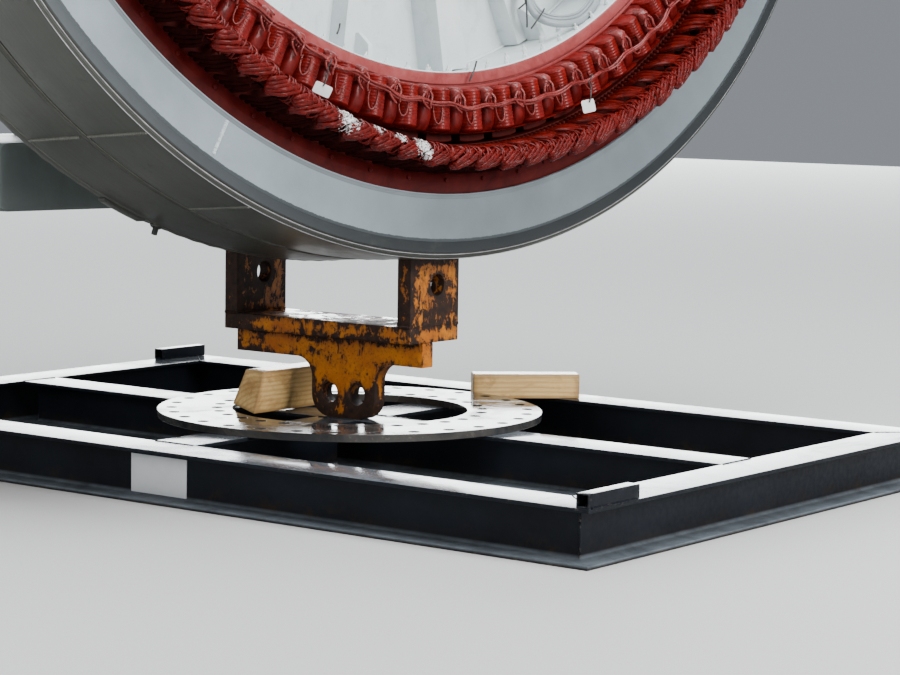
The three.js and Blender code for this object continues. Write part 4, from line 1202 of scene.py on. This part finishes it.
# Conduit loop: a thick grey pipe with two thinner ones inside its bend, through points (x, y, z) on the ring
ROUTE = np.array([
    (0.214, 0.690, -1.090), (0.214, 0.705, -1.280), (0.214, 0.728, -1.500), (0.225, 0.746, -1.662),
    (0.250, 0.732, -1.745), (0.290, 0.746, -1.806), (0.328, 0.790, -1.835), (0.352, 0.868, -1.842),
    (0.358, 0.962, -1.826), (0.352, 1.050, -1.778), (0.325, 1.132, -1.717), (0.275, 1.208, -1.640),
    (0.214, 1.258, -1.530), (0.206, 1.272, -1.460), (0.206, 1.278, -1.400), (0.206, 1.284, -1.300),
    (0.208, 1.290, -1.090)])


def through(points, each=8):
    """Smooth curve through the points: cubic pieces whose slopes are half the step between the neighbours."""
    p = np.concatenate([2 * points[:1] - points[1:2], points, 2 * points[-1:] - points[-2:-1]])
    t = (np.arange(each) / each)[:, None]
    rows = []
    for k in range(1, len(p) - 2):
        a, b, c, d = p[k - 1:k + 3]
        bend, twist = 2 * a - 5 * b + 4 * c - d, 3 * b - a - 3 * c + d
        rows.append(0.5 * (2 * b + (c - a) * t + bend * t ** 2 + twist * t ** 3))
    return np.concatenate(rows + [points[-1:]])


route = through(ROUTE)
middle = np.stack([0 * route[:, 0], 0.990 - route[:, 1], np.clip(-1.55 - route[:, 2], 0, None)], -1)
middle /= np.linalg.norm(middle, axis=1, keepdims=True)
PIPES = ((0.0, 0.0028, 0.0182), (0.0275, 0.0, 0.0080), (0.0430, -0.002, 0.0066))
for k, (inset, lift, radius) in enumerate(PIPES):
    path = (RING_CENTRE + (route + inset * middle + [lift, 0, 0]) @ RING_AXES)[None]
    tubes(f"conduit_{k + 1}", path, radius, FORWARD, CONDUIT, ROTOR, sides=14, slot="bare_steel",
          stands_for=("conduit_loop",) if k == 0 else ())


def ties(name, rows, radius):
    """Black ties: each row is a run of four ring points (x, y, z), drawn as one smooth thin cord."""
    paths = np.array([RING_CENTRE + through(np.array(row), 5) @ RING_AXES for row in rows])
    tubes(name, paths, radius, FORWARD, TIE, ROTOR, sides=6, slot="bare_steel")


ties("conduit_ties", [
    [(0.262, 0.700, -1.722), (0.275, 0.684, -1.738), (0.270, 0.668, -1.752), (0.262, 0.648, -1.768)],
    [(0.302, 0.662, -1.700), (0.302, 0.663, -1.760), (0.301, 0.664, -1.810), (0.300, 0.664, -1.860)],
    [(0.318, 0.770, -1.768), (0.330, 0.738, -1.792), (0.322, 0.706, -1.832), (0.310, 0.681, -1.866)],
    [(0.300, -0.549, -1.868), (0.303, -0.556, -1.884), (0.303, -0.563, -1.900), (0.300, -0.570, -1.916)],
    [(0.440, 0.172, -2.036), (0.444, 0.155, -2.068), (0.444, 0.138, -2.098), (0.440, 0.121, -2.130)]],
    0.0042)

# Blank white tags that hang on ties from the long lead, their centre, half sizes and tilt
TAG_PLACES = (((0.600, -0.935, -2.182), 0.040, 0.026, -0.42), ((0.600, 0.758, -2.252), 0.031, 0.031, 0.24))
TAG_RIGHT, TAG_UP = np.array([0.797, 0.603, 0.0]), np.array([0.0, 0.0, 1.0])
TAG_OUT = np.cross(TAG_RIGHT, TAG_UP)
TIE_AIMS = ((-0.895, -2.085), (0.772, -2.135))
f = angles(24)
round_off = np.stack([np.sign(np.cos(f)) * np.abs(np.cos(f)) ** 0.25,
                      np.sign(np.sin(f)) * np.abs(np.sin(f)) ** 0.25], -1)
tag_parts, tag_ties = [], []
for (centre, half_w, half_h, tilt), (y, z) in zip(TAG_PLACES, TIE_AIMS):
    across = TAG_RIGHT * math.cos(tilt) + TAG_UP * math.sin(tilt)
    upward = TAG_UP * math.cos(tilt) - TAG_RIGHT * math.sin(tilt)
    face = (RING_CENTRE + np.array(centre) @ RING_AXES + round_off[:, :1] * half_w * across
            + round_off[:, 1:] * half_h * upward)
    sheet = np.concatenate([face - 0.0008 * TAG_OUT, face + 0.0008 * TAG_OUT])
    tag_parts.append((sheet, capped(2, 24, True)))
    low = np.array(centre) + [0.006, 0.0, half_h * 0.55]
    high = np.array([0.596, y, z])
    bow = np.array([0.010, 0, 0])
    hook = np.array([(0, 0, 0), (0.006, 0.003, 0.010), (0.008, 0.008, 0.022), (0.010, 0.016, 0.036)])
    tag_ties += [[low, low * 0.7 + high * 0.3 + bow, low * 0.3 + high * 0.7 + bow, high], high + hook]
points, faces = merged(tag_parts)
put("blank_tags", points, faces, TAG, ROTOR)
ties("tag_ties", tag_ties, 0.0032)

# Rear support
turned("star_hub_turned", [
    (-0.930, 0.3003, 0.003), (-0.480, 0.3003, 0.003), (-0.480, 0.690, 0.010), (-0.490, 0.700, 0.010),
    (-0.920, 0.700, 0.010), (-0.930, 0.690, 0.010)], STAR, FIXED, ("star_hub",), count=160)
for k in range(8):
    dressed(f"star_arm_{k + 1}", STAR, bevel=0.014, cell=0.25, passes=2)
out, side = np.repeat([2.56, 2.69], 2), np.tile([-0.125, 0.125], 2)
arm_bolts = ring_place(-0.9295, np.hypot(out, side), angles(8)[:, None] + np.arctan2(side, out))
rear_bolts("star_arm_bolts", arm_bolts.reshape(-1, 3))
star_welds = [((-0.915, 0.7015, 45 * k + turn), (-0.485, 0.7015, 45 * k + turn))
              for k in range(8) for turn in (-15.9, 15.9)]
ring_beads("star_hub_welds", star_welds, 0.010, STAR, "carrier_paint", 36)
turned("axle_pin_turned", [
    (-0.930, 0.0, 0), (0.422, 0.0, 0), (0.422, 0.090, 0.004), (0.416, 0.094, 0.002), (0.416, 0.150, 0.002),
    (0.420, 0.154, 0.003), (0.420, 0.276, 0.006), (0.400, 0.300, 0.008), (-0.930, 0.300, 0.004)],
    BARE, FIXED, ("axle_pin",), count=128)
turned("rotor_hub_turned", [
    (-0.330, 0.3008, 0.003), (0.2998, 0.3008, 0), (0.2998, 0.879, 0), (0.276, 0.880, 0.003),
    (0.270, 0.874, 0.004), (0.270, 0.650, 0.028), (0.240, 0.620, 0.020), (-0.330, 0.620, 0.006)],
    WHITE, ROTOR, ("rotor_hub",), count=200)
drilled_ring("hub_face_drilled", ring_place, 0.3000, 0.3300, 0.3008, 0.880, (0.790,), 0.017, 48, 0.0,
             BARE, ROTOR, (), half=0.032)
for node in ("machine_carrier", "carrier_base"):
    dressed(node, CARRIER, bevel=0.012, cell=0.30, passes=2)
dressed("drain_nipple", DRAIN, bevel=0.0015, cell=0.03, passes=1)

# Floor, light and camera
floor_mesh = bpy.data.meshes.new("studio_floor")
floor_mesh.from_pydata([(-40, -40, 0), (40, -40, 0), (40, 40, 0), (-40, 40, 0)], [], [(0, 1, 2, 3)])
floor = bpy.data.objects.new("studio_floor", floor_mesh)
bpy.context.scene.collection.objects.link(floor)
pale = Finish("pale_floor", (0.50, 0.50, 0.49), 0.8)
floor_mesh.materials.append(pale.material)

world = bpy.data.worlds.new("overcast")
world.use_nodes = True
sky = world.node_tree.nodes["Background"]
sky.inputs["Color"].default_value = (0.86, 0.92, 1.0, 1)
sky.inputs["Strength"].default_value = 0.30
bpy.context.scene.world = world


def soft_light(name, place, aim, size, power, tone, height=None):
    """A lamp that looks from its place to its aim: a disc, or a rectangle where a height is given."""
    lamp = bpy.data.lights.new(name, "AREA")
    lamp.shape, lamp.size, lamp.energy, lamp.color = "DISK", size, power, tone
    if height:
        lamp.shape, lamp.size_y = "RECTANGLE", height
    made = bpy.data.objects.new(name, lamp)
    bpy.context.scene.collection.objects.link(made)
    toward = np.array(aim, float) - place
    toward /= np.linalg.norm(toward)
    helper = np.array([0, 0, 1.0]) if abs(toward[2]) < 0.9 else np.array([0, 1.0, 0])
    right = np.cross(toward, helper)
    right /= np.linalg.norm(right)
    basis = np.stack([right, np.cross(right, toward), -toward], 1)
    made.matrix_world = Matrix.Translation(place) @ Matrix(basis).to_4x4()
    made.visible_camera = False
    return made


soft_light("sky_light_over", np.array([3.5, -1.0, 14.0]), (0, 0, 2), 12, 3300, (0.95, 0.98, 1.0))
soft_light("sky_card_behind", np.array([-31.4, 41.4, 13.5]), (0, 0, 0.3), 74, 58000, (0.95, 0.98, 1.0), 27)
soft_light("sky_light_front", np.array([16.0, -1.5, 7.0]), (0, 0, 2.5), 7, 3300, (1.0, 0.99, 0.97))
soft_light("sky_light_side", np.array([1.0, -15.0, 6.5]), (0, 0, 1.5), 8, 780, (1.0, 0.99, 0.97))

CAMERA_PLACE = np.array([8.045, -9.866, 1.929])
CAM_YAW, CAM_DOWN, CAM_ROLL = math.radians(-37.1), math.radians(5.83), math.radians(0.87)
FOCAL_PX, IMAGE_W, SENSOR = 2646.0, 900, 36.0
look_way = np.array([math.sin(CAM_YAW) * math.cos(CAM_DOWN), math.cos(CAM_YAW) * math.cos(CAM_DOWN),
                     -math.sin(CAM_DOWN)])
flat_right = np.array([math.cos(CAM_YAW), -math.sin(CAM_YAW), 0.0])
flat_up = np.cross(flat_right, look_way)
right = flat_right * math.cos(CAM_ROLL) + flat_up * math.sin(CAM_ROLL)
up = flat_up * math.cos(CAM_ROLL) - flat_right * math.sin(CAM_ROLL)
lens = bpy.data.cameras.new("photo_camera")
lens.sensor_width = SENSOR
lens.lens = FOCAL_PX / IMAGE_W * SENSOR
lens.clip_end = 200
camera = bpy.data.objects.new("photo_camera", lens)
camera.matrix_world = Matrix.Translation(CAMERA_PLACE) @ Matrix(np.stack([right, up, -look_way], 1)).to_4x4()
bpy.context.scene.collection.objects.link(camera)
bpy.context.scene.camera = camera

bpy.context.view_layer.update()
